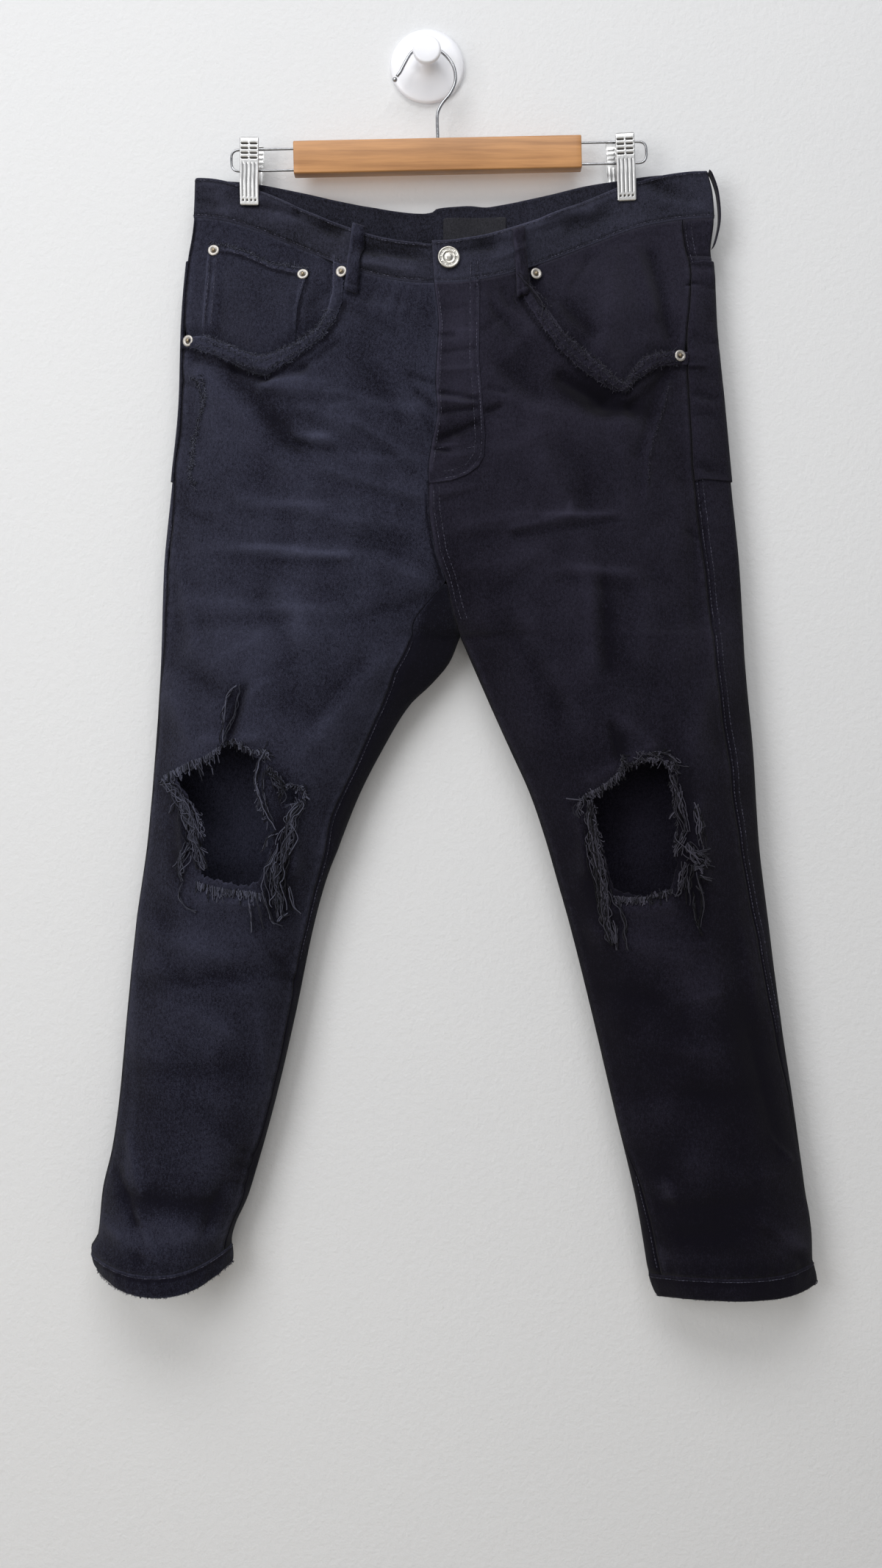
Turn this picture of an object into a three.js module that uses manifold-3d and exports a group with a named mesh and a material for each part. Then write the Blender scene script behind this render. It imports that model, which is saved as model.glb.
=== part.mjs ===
// Ripped five-pocket jeans, clipped flat to a wooden bar hanger on a round wall hook.
// Millimetres, +Z up. Origin: centre of the wall hook's back face, on the wall plane y = 0.
// The front faces -Y. "left" and "right" are as seen from the front. "down" is minus z.
import * as THREE from "three";
import { mergeVertices } from "three/addons/utils/BufferGeometryUtils.js";
import Module from "manifold-3d";

const wasm = await Module();
wasm.setup();

// ---------------------------------------------------------------- driving dimensions
const CLOTH = 1.2;            // one layer of denim
const GAP = 0.3;              // between pieces at a seam
const WAIST_SEAM = 150;       // down to the waistband seam at the side folds
const CROTCH = 534.5;         // down to the fork of the legs
const HEM_TOP = 1106;
const HEM_END = 1125;
const WAIST_DROP = { front: 71, back: 28 };   // centre of the waist below its side folds
const FORK_SEAM = 487;        // down to where the four leg seams meet
const OUTER_FOLD = 0.16;      // share of the girth parameter in a fold
const HANGER_Y = -22;

const DENIM = { left: "#242731", right: "#1a1920" };
const denim = (side) => new THREE.MeshStandardMaterial({ color: DENIM[side], roughness: 0.9 });
const lining = new THREE.MeshStandardMaterial({ color: "#1c1d24", roughness: 0.9 });
const metal = new THREE.MeshStandardMaterial({ color: "#c9c8c4", roughness: 0.3, metalness: 1 });
const wood = new THREE.MeshStandardMaterial({ color: "#b5773c", roughness: 0.5 });
const plastic = new THREE.MeshStandardMaterial({ color: "#f2f2f2", roughness: 0.35 });

// ---------------------------------------------------------------- small helpers
const clamp = (x) => Math.min(1, Math.max(0, x));
const smooth = (x) => clamp(x) ** 2 * (3 - 2 * clamp(x));
const mix = (a, b, k) => a + (b - a) * k;

// Smooth curve through [down, value] points, with no overshoot between them.
function curve(points) {
  const last = points.length - 1;
  const slope = (i) => (points[i + 1][1] - points[i][1]) / (points[i + 1][0] - points[i][0]);
  const tangent = points.map((_, i) => {
    if (i === 0) return slope(0);
    if (i === last) return slope(last - 1);
    const [a, b] = [slope(i - 1), slope(i)];
    return a * b <= 0 ? 0 : (2 * a * b) / (a + b);
  });
  return (down) => {
    if (down <= points[0][0]) return points[0][1];
    if (down >= points[last][0]) return points[last][1];
    let i = 0;
    while (down > points[i + 1][0]) i += 1;
    const h = points[i + 1][0] - points[i][0];
    const k = (down - points[i][0]) / h;
    return mix(points[i][1], points[i + 1][1], k * k * (3 - 2 * k))
      + h * (tangent[i] * k * (1 - k) ** 2 - tangent[i + 1] * k * k * (1 - k));
  };
}

// ---------------------------------------------------------------- the garment's form
const OUTER_X = {
  left: curve([[106, -212.5], [150, -214], [193, -220.5], [253, -225], [314, -226.5],
    [395, -234], [476, -241.5], [557, -244], [638, -249], [719, -256], [800, -267],
    [880, -275], [961, -282.5], [1002, -288.5], [1042, -297.5], [1088, -301.5],
    [1102, -307.5], [1116, -304.5], [1125, -301]]),
  right: curve([[106, 257], [128, 262], [150, 263.5], [180, 260.5], [193, 262.5],
    [253, 265.5], [314, 271.5], [395, 279], [476, 287], [557, 291.5], [638, 299],
    [719, 304], [800, 313.5], [880, 323.5], [961, 335.5], [1042, 346.5], [1083, 352.5],
    [1104, 353], [1125, 357]]),
};
const INNER_X = {
  left: curve([[534.5, 30.3], [557, 21], [577, 4.7], [597, -16], [638, -41], [678, -61.5],
    [719, -78], [759, -93], [800, -104], [880, -120.5], [961, -139.5], [1042, -162.5],
    [1083, -176], [1103, -179], [1125, -178]]),
  right: curve([[534.5, 30.3], [557, 40], [597, 57.5], [638, 76], [678, 94], [719, 108],
    [759, 119.5], [800, 131], [880, 151], [961, 170], [1042, 189.5], [1083, 198],
    [1103, 202], [1125, 210]]),
};
const CENTRE_X = {
  front: curve([[181, 4.2], [218, 6.5], [258, 10.5], [310, 8], [336, 9.5], [368, 4],
    [389, 1.5], [424, 2], [461, 8], [483, 16], [509, 23], [534.5, 30.3]]),
  back: curve([[139, 8], [400, 18], [534.5, 30.3]]),
};
const FOLD_Y = curve([[112, HANGER_Y], [200, -22], [350, -24], [1125, -26]]);
const FOLD_RADIUS = curve([[112, 3.2], [150, 3.2], [250, 5], [1125, 5]]);
const DEPTH = {
  front: {
    left: curve([[112, 34], [250, 36], [534, 36], [700, 33], [900, 28], [1030, 29], [1125, 42]]),
    right: curve([[112, 34], [250, 36], [534, 36], [700, 33], [900, 27], [1030, 26], [1125, 29]]),
  },
  back: {
    left: curve([[112, 9], [350, 12], [534, 12], [900, 10], [1030, 10], [1125, 13]]),
    right: curve([[112, 9], [350, 12], [534, 12], [900, 10], [1125, 10]]),
  },
};
const PINCH = { left: 0.28, right: 0.37 };    // share of the half width held flat by a clip
const DROP_POWER = { left: 1, right: 1.15 };
const HEM_SAG = {             // hem height at the outer fold, the middle and the inner fold
  left: { front: [-12, 0, -19], back: [-12, -10, -19] },
  right: { front: [-1, 7, 12], back: [-1, 2, 12] },
};
// Distance of the seams from the folds, towards the front
const OUTSEAM_IN = {
  left: curve([[106, 2], [400, 3], [435, 5], [540, 3.5], [620, 0.5], [1125, 0.5]]),
  right: curve([[106, 27], [150, 29], [190, 22], [275, 31], [385, 36], [520, 33], [640, 27],
    [740, 20], [860, 12], [960, 4], [1010, 0.5], [1125, 0.5]]),
};
const INSEAM_IN = {
  left: curve([[487, 0.2], [534.5, 43], [560, 44], [600, 23], [660, 15.5], [695, 15.5],
    [760, 6.5], [1000, 4.5], [1125, 5]]),
  right: curve([[534.5, 0.5], [985, 0.5], [1040, 7], [1125, 10]]),
};

// How open the fork is: 1 in the body, 0 from the fork down, where each leg is a closed tube.
function bodyShare(down) {
  const k = clamp((down - 330) / (CROTCH - 330));
  return Math.sqrt(Math.max(0, 1 - k ** 2.5));
}

// A point of the outer surface. q runs round one half: 0 at the outer fold, 1 at the
// front centre or inner fold, -1 at the same place behind; below -1 it wraps to the front.
function surface(side, q, row) {
  const face = q < 0 && q >= -1 ? "back" : "front";
  const s = q < -1 ? 2 + q : Math.abs(q);
  const share = bodyShare(row);
  const drop = WAIST_DROP[face] * (1 - smooth((row - WAIST_SEAM) / 300));
  const radius = FOLD_RADIUS(row);
  const outer = OUTER_X[side](row);
  const centre = row > CROTCH ? INNER_X[side](row) : CENTRE_X[face](row + drop);
  const inner = centre + (side === "right" ? GAP : 0);
  const width = Math.abs(inner - outer);
  const k = clamp((s - OUTER_FOLD) / (1 - OUTER_FOLD));
  const kLeg = clamp((s - OUTER_FOLD) / (1 - 2 * OUTER_FOLD));
  const foldOut = Math.min(1, s / OUTER_FOLD) * Math.PI / 2;
  const foldIn = Math.min(1, (1 - s) / OUTER_FOLD) * Math.PI / 2;
  const body = radius * (1 - Math.cos(foldOut)) + (width - radius) * k;
  const leg = radius * (1 - Math.cos(foldOut)) + (width - 2 * radius) * kLeg
    + radius * Math.cos(foldIn);
  const across = mix(leg, body, share) / width;
  const round = Math.sin(foldOut) * mix(Math.sin(foldIn), 1, share);
  const held = smooth((across - PINCH[side]) / (1 - PINCH[side]));
  const open = 1 - (1 - across) ** 2.6;
  const body3 = mix(held, open, smooth((row - 145) / 100));
  const tube = 1 - Math.abs(2 * across - 1) ** 2.6;
  const swell = mix(tube, body3, share) * DEPTH[face][side](row);
  const sign = face === "front" ? -1 : 1;
  const [sagOut, sagMid, sagIn] = HEM_SAG[side][face];
  const hem = smooth((row - 1040) / 85);
  const bow = 4 * across * (1 - across);
  const sag = hem * (mix(sagOut, sagIn, across) * (1 - bow) + sagMid * bow);
  const dip = drop * Math.sin(Math.PI / 2 * across) ** (2 * DROP_POWER[side]);
  const x = outer + (inner - outer) * across;
  return new THREE.Vector3(x, FOLD_Y(row) + sign * (radius * round + swell), -(row + dip + sag));
}

// Outward unit normal, by differences that stay on one sheet above the fork.
function normal(side, q, row) {
  const step = 0.004;
  const closed = row >= CROTCH;
  const [low, high] = closed || Math.abs(q) + step < 1 ? [q - step, q + step]
    : q > 0 ? [q - step, Math.min(1, q)] : q < -1 ? [q - step, Math.min(-1.00001, q + step)]
      : [Math.max(-1, q), q + step];
  const ring = (value) => (value > 1 ? value - 2 : value);
  const around = surface(side, ring(high), row).sub(surface(side, ring(low), row));
  const along = surface(side, q, row + 1).sub(surface(side, q, row - (closed ? 0 : 1)));
  const out = around.cross(along).normalize();
  return side === "left" ? out.negate() : out;
}

function lifted(side, q, row, offset) {
  return surface(side, q, row).addScaledVector(normal(side, q, row), offset);
}

// Girth parameter at a distance in from the outer (or inner) fold, on the front.
function atInset(side, row, inset, fromInner) {
  const edge = surface(side, fromInner ? 1 : 0, row).x;
  let [low, high] = [0, 1];
  for (let i = 0; i < 30; i += 1) {
    const middle = (low + high) / 2;
    const near = Math.abs(surface(side, middle, row).x - edge) < inset;
    if (near !== Boolean(fromInner)) low = middle;
    else high = middle;
  }
  return (low + high) / 2;
}

// Surface coordinates of a place given by x and down, on one face of one half.
function locate(side, face, x, down) {
  const sign = face === "front" ? 1 : -1;
  let [s, row] = [0.5, down];
  for (let i = 0; i < 12; i += 1) {
    let [low, high] = [0, 1];
    const outer = surface(side, 0, row).x;
    for (let j = 0; j < 24; j += 1) {
      s = (low + high) / 2;
      const near = Math.abs(surface(side, sign * Math.max(s, 1e-6), row).x - outer)
        < Math.abs(x - outer);
      if (near) low = s;
      else high = s;
    }
    row += down + surface(side, sign * Math.max(s, 1e-6), row).z;
  }
  return [sign * Math.max(s, 1e-6), row];
}

// ---------------------------------------------------------------- shells
// Patches are grids of { out, in } corners; equal corners are joined, and open edges walled.
function shell(patches) {
  const keys = new Map();
  const outer = [];
  const inner = [];
  const faces = [];
  const id = (corner) => {
    const key = corner.out.toArray().map((v) => Math.round(v * 50)).join();
    if (!keys.has(key)) {
      keys.set(key, outer.length);
      outer.push(corner.out);
      inner.push(corner.in);
    }
    return keys.get(key);
  };
  for (const grid of patches) {
    for (let i = 0; i + 1 < grid.length; i += 1) {
      for (let j = 0; j + 1 < grid[i].length; j += 1) {
        const [a, b, c, d] = [grid[i][j], grid[i][j + 1], grid[i + 1][j + 1], grid[i + 1][j]].map(id);
        for (const face of [[a, b, c], [a, c, d]]) {
          if (new Set(face).size === 3) faces.push(face);
        }
      }
    }
  }
  const open = new Map();
  for (const face of faces) {
    for (let i = 0; i < 3; i += 1) {
      const [a, b] = [face[i], face[(i + 1) % 3]];
      if (!open.delete(`${b} ${a}`)) open.set(`${a} ${b}`, [a, b]);
    }
  }
  const n = outer.length;
  const index = [];
  for (const [a, b, c] of faces) index.push(a, b, c, c + n, b + n, a + n);
  for (const [a, b] of open.values()) index.push(b, a, a + n, b, a + n, b + n);
  const geometry = new THREE.BufferGeometry();
  const points = [...outer, ...inner].flatMap((p) => p.toArray());
  geometry.setAttribute("position", new THREE.Float32BufferAttribute(points, 3));
  geometry.setIndex(index);
  return outward(geometry);
}

function volume(geometry) {
  const p = geometry.attributes.position;
  const corner = (i) => new THREE.Vector3().fromBufferAttribute(p, geometry.index.array[i]);
  let sum = 0;
  for (let i = 0; i < geometry.index.count; i += 3) {
    sum += corner(i).dot(corner(i + 1).cross(corner(i + 2)));
  }
  return sum / 6;
}

function outward(geometry) {
  if (volume(geometry) < 0) {
    const list = geometry.index.array;
    for (let i = 0; i < list.length; i += 3) [list[i], list[i + 1]] = [list[i + 1], list[i]];
  }
  return geometry;
}

// A grid over a half: place(u, v) gives [q, row], out and in are offsets or functions.
function patch(side, columns, rows, place, out, inn) {
  const value = (offset, u, v) => (typeof offset === "function" ? offset(u, v) : offset);
  return Array.from({ length: rows + 1 }, (_, i) => Array.from({ length: columns + 1 }, (__, j) => {
    const [u, v] = [j / columns, i / rows];
    const [q, row] = place(u, v);
    return {
      out: lifted(side, q, row, value(out, u, v)),
      in: lifted(side, q, row, value(inn, u, v)),
    };
  }));
}

function solid(geometry) {
  const bare = geometry.clone();
  for (const name of ["normal", "uv"]) if (bare.attributes[name]) bare.deleteAttribute(name);
  const joined = mergeVertices(bare, 1e-4);
  const mesh = new wasm.Mesh({
    numProp: 3,
    vertProperties: new Float32Array(joined.attributes.position.array),
    triVerts: new Uint32Array(joined.index.array),
  });
  return new wasm.Manifold(mesh);
}

function geometryOf(body) {
  const mesh = body.getMesh();
  const geometry = new THREE.BufferGeometry();
  geometry.setAttribute("position", new THREE.Float32BufferAttribute(mesh.vertProperties, 3));
  geometry.setIndex(Array.from(mesh.triVerts));
  return geometry;
}

// A prism through y of an outline of [x, down] points.
function prism(outline, yFrom, yTo) {
  const shape = new THREE.Shape(outline.map(([x, down]) => new THREE.Vector2(x, -down)));
  const block = new THREE.ExtrudeGeometry(shape, { depth: yTo - yFrom, bevelEnabled: false });
  block.rotateX(Math.PI / 2);
  block.translate(0, yTo, 0);
  return solid(block);
}
const without = (geometry, outlines) => geometryOf(outlines.reduce(
  (body, outline) => body.subtract(prism(outline, -120, 0)), solid(geometry)));
const within = (geometry, outline) => geometryOf(solid(geometry).intersect(prism(outline, -120, 0)));

const jeans = new THREE.Group();
function add(name, geometry, material, parent = jeans) {
  const mesh = new THREE.Mesh(geometry, material);
  mesh.name = name;
  parent.add(mesh);
  return mesh;
}

// ---------------------------------------------------------------- seams and rows
const sides = ["left", "right"];
const WEARER = { left: "right", right: "left" };   // the wearer's side of each half
const BODY_ROWS = [WAIST_SEAM + GAP, 185, 246, 294, 342, 390, 438, FORK_SEAM, 511, CROTCH];
const LEG_STEPS = 10;
const LEG_ROWS = Array.from({ length: LEG_STEPS + 1 },
  (_, i) => mix(CROTCH, HEM_TOP - GAP, i / LEG_STEPS));
const ALL_ROWS = [...BODY_ROWS, ...LEG_ROWS.slice(1)];
const shares = (n) => Array.from({ length: n + 1 }, (_, i) => i / n);
const FRONT_COLUMNS = 10;
const BACK_COLUMNS = [...shares(3).map((u) => u - 1), ...shares(11).slice(1)];

// q moved by a distance along the cloth
function stepped(side, q, row, distance) {
  const h = 0.002;
  const from = Math.min(Math.max(q, -1 + h), 1 - h);
  const length = surface(side, from + h, row).distanceTo(surface(side, from - h, row));
  return q + (distance * 2 * h) / length;
}
const outseam = (side, row) => atInset(side, row, OUTSEAM_IN[side](row), false);
function inseam(side, row) {
  const from = side === "left" ? FORK_SEAM : CROTCH;
  return row <= from ? 1 : atInset(side, row, INSEAM_IN[side](row), true);
}
const yokeLine = (q) => 185 + 45 * clamp(-q);

// A grid whose rows are given, each row running from one q to another.
function rowsPatch(side, rows, columns, ends, out, inn) {
  return rows.map((row) => Array.from({ length: columns.length }, (_, j) => {
    const [q, ownRow] = ends(row, columns[j]);
    return { out: lifted(side, q, ownRow, out), in: lifted(side, q, ownRow, inn) };
  }));
}

// ---------------------------------------------------------------- layers of the body
// What lies on or under a panel is a layer of the same grid, moved out or in, cut to shape.
function frontLayer(side, out, inn, firstQ = 0) {
  const ends = (row, u) => {
    const start = Math.max(firstQ, stepped(side, outseam(side, row), row, GAP));
    const end = inseam(side, row);
    return [mix(start, end < 1 ? stepped(side, end, row, -GAP) : 1, u), row];
  };
  return shell([rowsPatch(side, ALL_ROWS, shares(FRONT_COLUMNS), ends, out, inn)]);
}

// The back runs from the outseam round the outer fold to the centre, or to the inner fold
// and on to the inseam.
function backAround(side, row, u) {
  return u < 0 ? mix(0, stepped(side, outseam(side, row), row, -GAP), -u) : -u;
}
function backLayer(side, out, inn) {
  const ends = (row, u) => {
    const q = backAround(side, row, u);
    const top = yokeLine(q) + GAP;
    return [q, row === ALL_ROWS[1] ? top : Math.max(row, top)];
  };
  const patches = [rowsPatch(side, ALL_ROWS.slice(1), BACK_COLUMNS, ends, out, inn)];
  const inner = (row) => stepped(side, inseam(side, row), row, GAP);
  const wrap = (row, u) => [mix(-1, -2 + inner(row), u), row];
  patches.push(rowsPatch(side, LEG_ROWS, shares(2), wrap, out, inn));
  if (side === "left") {
    const above = (row, u) => [mix(1, Math.min(1, inner(row)), u), row];
    patches.push(rowsPatch(side, [FORK_SEAM + 2, 511, CROTCH], shares(2), above, out, inn));
  }
  return shell(patches);
}

function yoke(side) {
  const rows = [WAIST_SEAM + GAP, 185];
  const ends = (row, u) => {
    const q = backAround(side, row, u);
    return [q, row === rows[0] ? row : yokeLine(q) - GAP];
  };
  return shell([rowsPatch(side, rows, BACK_COLUMNS, ends, 0, -CLOTH)]);
}

// ---------------------------------------------------------------- outlines, as [x, down]
// Edges of the scooped pocket openings and of the frayed bands along them
const SCOOP = {
  left: {
    edge: [[-84.5, 190], [-85, 224], [-89, 243], [-98, 260], [-110, 269], [-122.5, 276],
      [-140.5, 283.5], [-153.5, 284], [-166, 279], [-180, 272], [-201, 262], [-232, 260]],
    band: [[-74, 184], [-76, 231.5], [-81, 249.5], [-92, 266], [-106, 278], [-122, 289],
      [-144, 301.5], [-154, 299], [-164, 295], [-188, 281.5], [-212, 272], [-232, 269]],
  },
  right: {
    edge: [[87, 180], [94.5, 219], [109, 243], [123.5, 266], [140.5, 281], [154.5, 292.5],
      [168, 305], [177.5, 308.5], [185, 298], [193, 287], [207, 280], [222.5, 277], [250, 277]],
    band: [[78, 180], [86, 228], [101, 256], [119, 280.5], [136.5, 296], [157, 309],
      [168, 315.5], [180, 316], [188, 306], [201, 297], [212, 291], [229.5, 288.5], [250, 288]],
  },
};
const opening = (side) => [...SCOOP[side].edge,
  [side === "left" ? -260 : 300, 260], [side === "left" ? -260 : 300, 90],
  [SCOOP[side].edge[0][0], 90]];
const bandOutline = (side) => [...SCOOP[side].edge, ...[...SCOOP[side].band].reverse()];
const FACING = {
  left: [[-72, 140], [-72, 250], [-90, 285], [-120, 305], [-160, 310], [-260, 290], [-260, 140]],
  right: [[76, 140], [80, 250], [110, 295], [150, 325], [185, 328], [260, 300], [260, 140]],
};
const COIN_POCKET = [[-200, 173], [-203.5, 235], [-206, 290], [-119, 290], [-118.5, 268],
  [-117, 239], [-108, 199], [-143, 193.5], [-170, 181]];
const FLY = [[-20, 140], [47.5, 140], [46.5, 290], [52, 359], [51, 377], [46, 386], [36, 393],
  [22, 398.5], [6, 400.5], [-20, 400.5]];
const BACK_POCKET = {
  left: [[-300, 190], [-215, 190], [-66, 244], [-66, 405], [-146, 420], [-215, 392], [-300, 392]],
  right: [[320, 190], [250, 190], [80, 244], [80, 405], [160, 420], [250, 392], [320, 392]],
};
const KNEE_HOLE = {
  left: [[-226, 664], [-212, 651], [-193, 644], [-180, 633], [-171.5, 630], [-164, 639],
    [-150.5, 646], [-151, 679], [-139.5, 702], [-136.5, 711], [-142, 738], [-151, 757],
    [-165, 760], [-200, 751.5], [-201, 718], [-204, 697], [-213, 683]],
  right: [[140, 678.5], [153, 675], [168, 663], [181, 651.5], [206, 647], [214, 653],
    [219, 666], [219, 688], [225.5, 707.5], [222, 726.5], [225.5, 742], [216.5, 763.5],
    [194.5, 769.5], [169, 765], [159, 734.5], [151, 701], [151, 688.5]],
};
const LABEL = [[15, 145.5], [73, 145.5], [73, 175], [15, 175]];

// ---------------------------------------------------------------- cloth pieces
for (const side of sides) {
  const wearer = WEARER[side];
  const cloth = denim(side);
  const front = without(frontLayer(side, 0, -CLOTH), [opening(side), KNEE_HOLE[side]]);
  add(`front_panel_${wearer}`, front, cloth);
  add(`back_panel_${wearer}`, backLayer(side, 0, -CLOTH), cloth);
  add(`yoke_${wearer}`, yoke(side), cloth);
  add(`front_pocket_band_${wearer}`, within(frontLayer(side, 1.3, GAP), bandOutline(side)), cloth);
  add(`front_pocket_facing_${wearer}`,
    within(frontLayer(side, -3, -3 - CLOTH, 0.12), FACING[side]), cloth);
  add(`back_pocket_${wearer}`, within(backLayer(side, 1.5, GAP), BACK_POCKET[side]), cloth);
}
add("coin_pocket", within(frontLayer("left", -1.6, -2.6, 0.12), COIN_POCKET), denim("left"));
add("fly", within(frontLayer("right", 1.3, GAP), FLY), denim("right"));

// Hems: a ring round each leg's end
const HEM_OUT = 1;
const HEM_IN = -1.9;
for (const side of sides) {
  const ring = [...shares(12).map((u) => u - 1), ...shares(12).slice(1)];
  const ends = (row, u) => [u, row];
  add(`hem_${WEARER[side]}`,
    shell([rowsPatch(side, [HEM_TOP + GAP, HEM_END], ring, ends, HEM_OUT, HEM_IN)]), denim(side));
}

// Waistband: one strip from the buttonhole end round the back to the end under it
const BAND_OUT = 0.6;
const BAND_IN = -1.8;
const UNDER = -3;             // shift of the end that lies behind the buttonhole end
const bandTop = (side, q) => (side === "left" ? 113 : mix(106, 111, Math.abs(q)));
const bandColumns = [0.053, 0.107, 0.16, ...shares(9).slice(1).map((u) => mix(0.16, 1, u))];
function waistband() {
  const out = bandColumns.slice().reverse();
  const stations = [
    ...out.map((q) => ["right", q, 0]), ["right", 0, 0],
    ...bandColumns.map((q) => ["right", -q, 0]),
    ...out.slice(1).map((q) => ["left", -q, 0]), ["left", 0, 0],
    ...bandColumns.slice(0, -1).map((q) => ["left", q, 0]),
    ["left", 0.955, 0], ["left", 0.996, UNDER], ["right", 0.96, UNDER], ["right", 0.9, UNDER],
  ];
  const rows = [0, 1].map((v) => stations.map(([side, q, shift]) => {
    const row = v ? WAIST_SEAM - GAP : bandTop(side, q);
    return {
      out: lifted(side, q, row, BAND_OUT + shift),
      in: lifted(side, q, row, BAND_IN + shift),
    };
  }));
  return shell([rows]);
}
add("waistband", waistband(), denim("right"));

function backBandInside(side) {
  const rows = [0, 1].map((v) => bandColumns.map((q) => {
    const row = v ? WAIST_SEAM - GAP : bandTop(side, q);
    return { out: lifted(side, -q, row, BAND_IN - GAP), in: lifted(side, -q, row, BAND_IN - 1.1) };
  }));
  return shell([rows]);
}
add("waist_label", within(backBandInside("right"), LABEL), lining);

// Belt loops: strips that stand off the band between their two sewn ends
const LOOP_WIDTH = 11.5;
function beltLoop(side, top, bottom, lift, columns = 1, foot = 1.4) {
  const place = (u, v) => [
    mix(mix(top[0], top[1], u), mix(bottom[0], bottom[1], u), v), mix(top[2], bottom[2], v)];
  const arch = (_, v) => mix(1.4, foot, v) + lift * Math.sin(Math.PI * v) ** 0.6;
  return shell([patch(side, columns, 6, place, (u, v) => arch(u, v) + 1.5, arch)]);
}
function frontLoop(side, top, bottom) {
  const end = ([x, down]) => {
    const [a, row] = locate(side, "front", x - LOOP_WIDTH / 2, down);
    const [b] = locate(side, "front", x + LOOP_WIDTH / 2, down);
    return [a, b, row];
  };
  return beltLoop(side, end(top), end(bottom), 2, 1, 3);
}
add("belt_loop_front_right", frontLoop("left", [-60.5, 161], [-68, 226]), denim("left"));
add("belt_loop_front_left", frontLoop("right", [80.5, 165], [86, 230]), denim("right"));
add("belt_loop_side_left", beltLoop("right", [-0.02, -0.18, 109], [-0.02, -0.18, 176], 3, 4),
  denim("right"));
add("belt_loop_side_right", beltLoop("left", [-0.22, -0.265, 116], [-0.22, -0.265, 176], 2),
  denim("left"));
add("belt_loop_back", beltLoop("right", [-0.955, -0.999, 112], [-0.955, -0.999, 176], 1.5),
  denim("right"));

// ---------------------------------------------------------------- button and rivets
const turned = (profile, segments) => new THREE.LatheGeometry(
  profile.map(([r, h]) => new THREE.Vector2(r, h)), segments);
// Stands a turned piece on a named cloth piece, its axis along the cloth's normal there,
// raised until it is just clear of it.
function stud(name, geometry, side, [x, down], offset, material, under) {
  const [q, row] = locate(side, "front", x, down);
  const cloth = solid(jeans.getObjectByName(under).geometry);
  const mesh = add(name, geometry, material);
  mesh.quaternion.setFromUnitVectors(new THREE.Vector3(0, 1, 0), normal(side, q, row));
  let height = offset;
  let touching = true;
  while (touching) {
    height += 0.1;
    mesh.position.copy(lifted(side, q, row, height - GAP));
    mesh.updateMatrix();
    touching = solid(geometry.clone().applyMatrix4(mesh.matrix)).intersect(cloth).volume() > 0;
  }
  mesh.position.copy(lifted(side, q, row, height));
}
const buttonGeometry = turned([[0, 0], [7, 0], [10, 1.6], [10, 2.6], [8.6, 3.4], [5.6, 3],
  [0, 3.2]], 20);
stud("waist_button", buttonGeometry, "right", [19.5, 198], 0.8, metal, "waistband");
const rivetGeometry = turned([[0, 0], [5.2, 0], [5.2, 0.8], [4, 1.6], [2.2, 1.5], [1.8, 2.4],
  [0, 2.6]], 12);
const RIVETS = [
  ["coin_outer", "left", [-195, 181.5], -1.6, "coin_pocket"],
  ["coin_inner", "left", [-113, 205], -1.6, "coin_pocket"],
  ["right_inner", "left", [-76.5, 206], 1, "front_pocket_band_right"],
  ["right_outer", "left", [-217, 265], 1, "front_pocket_band_right"],
  ["left_inner", "right", [98.5, 207], 1, "front_pocket_band_left"],
  ["left_outer", "right", [229, 281], 1, "front_pocket_band_left"],
];
for (const [name, side, place, offset, under] of RIVETS) {
  stud(`rivet_${name}`, rivetGeometry, side, place, offset, metal, under);
}

// ---------------------------------------------------------------- hanger
const BAR = { length: 264, thick: 13, tall: 30, x: 9.6, z: -92.3, tilt: -0.021 };
const WIRE = 1;
const HOOK_WIRE = 1.5;
const disc = (r, n) => Array.from({ length: n },
  (_, i) => new THREE.Vector2(r * Math.cos((2 * Math.PI * i) / n), r * Math.sin((2 * Math.PI * i) / n)));
// A round rod along a list of points, with domed ends left plain
function rod(points, radius, steps, tension = 0.5) {
  const path = new THREE.CatmullRomCurve3(points, false, "catmullrom", tension);
  return new THREE.ExtrudeGeometry(new THREE.Shape(disc(radius, 8)),
    { steps, extrudePath: path, bevelEnabled: false });
}

const hanger = new THREE.Group();
hanger.position.set(BAR.x, HANGER_Y, BAR.z);
hanger.rotation.y = BAR.tilt;
jeans.add(hanger);
// The bar, bored at its ends for the wires and on top for the hook
const BORE_DEPTH = 14;
function bore(radius, axis, x, z) {
  const drill = new THREE.CylinderGeometry(radius, radius, 2 * BORE_DEPTH, 16);
  if (axis === "z") drill.rotateX(Math.PI / 2);
  else drill.rotateZ(Math.PI / 2);
  drill.translate(x, 0, z);
  return solid(drill);
}
const WIRE_GAP = 19.6;        // between the two wires of a side loop
const halfBar = BAR.length / 2;
const barSection = new THREE.Shape();
const edge = 1.6;
barSection.moveTo(-BAR.thick / 2 + edge, -BAR.tall / 2);
barSection.lineTo(BAR.thick / 2 - edge, -BAR.tall / 2);
barSection.lineTo(BAR.thick / 2, -BAR.tall / 2 + edge);
barSection.lineTo(BAR.thick / 2, BAR.tall / 2 - edge);
barSection.lineTo(BAR.thick / 2 - edge, BAR.tall / 2);
barSection.lineTo(-BAR.thick / 2 + edge, BAR.tall / 2);
barSection.lineTo(-BAR.thick / 2, BAR.tall / 2 - edge);
barSection.lineTo(-BAR.thick / 2, -BAR.tall / 2 + edge);
const barGeometry = new THREE.ExtrudeGeometry(barSection, { depth: BAR.length, bevelEnabled: false });
barGeometry.rotateX(Math.PI / 2);
barGeometry.rotateZ(Math.PI / 2);
barGeometry.computeBoundingBox();
barGeometry.translate(-halfBar - barGeometry.boundingBox.min.x, 0, 0);
let bar = solid(barGeometry);
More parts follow.
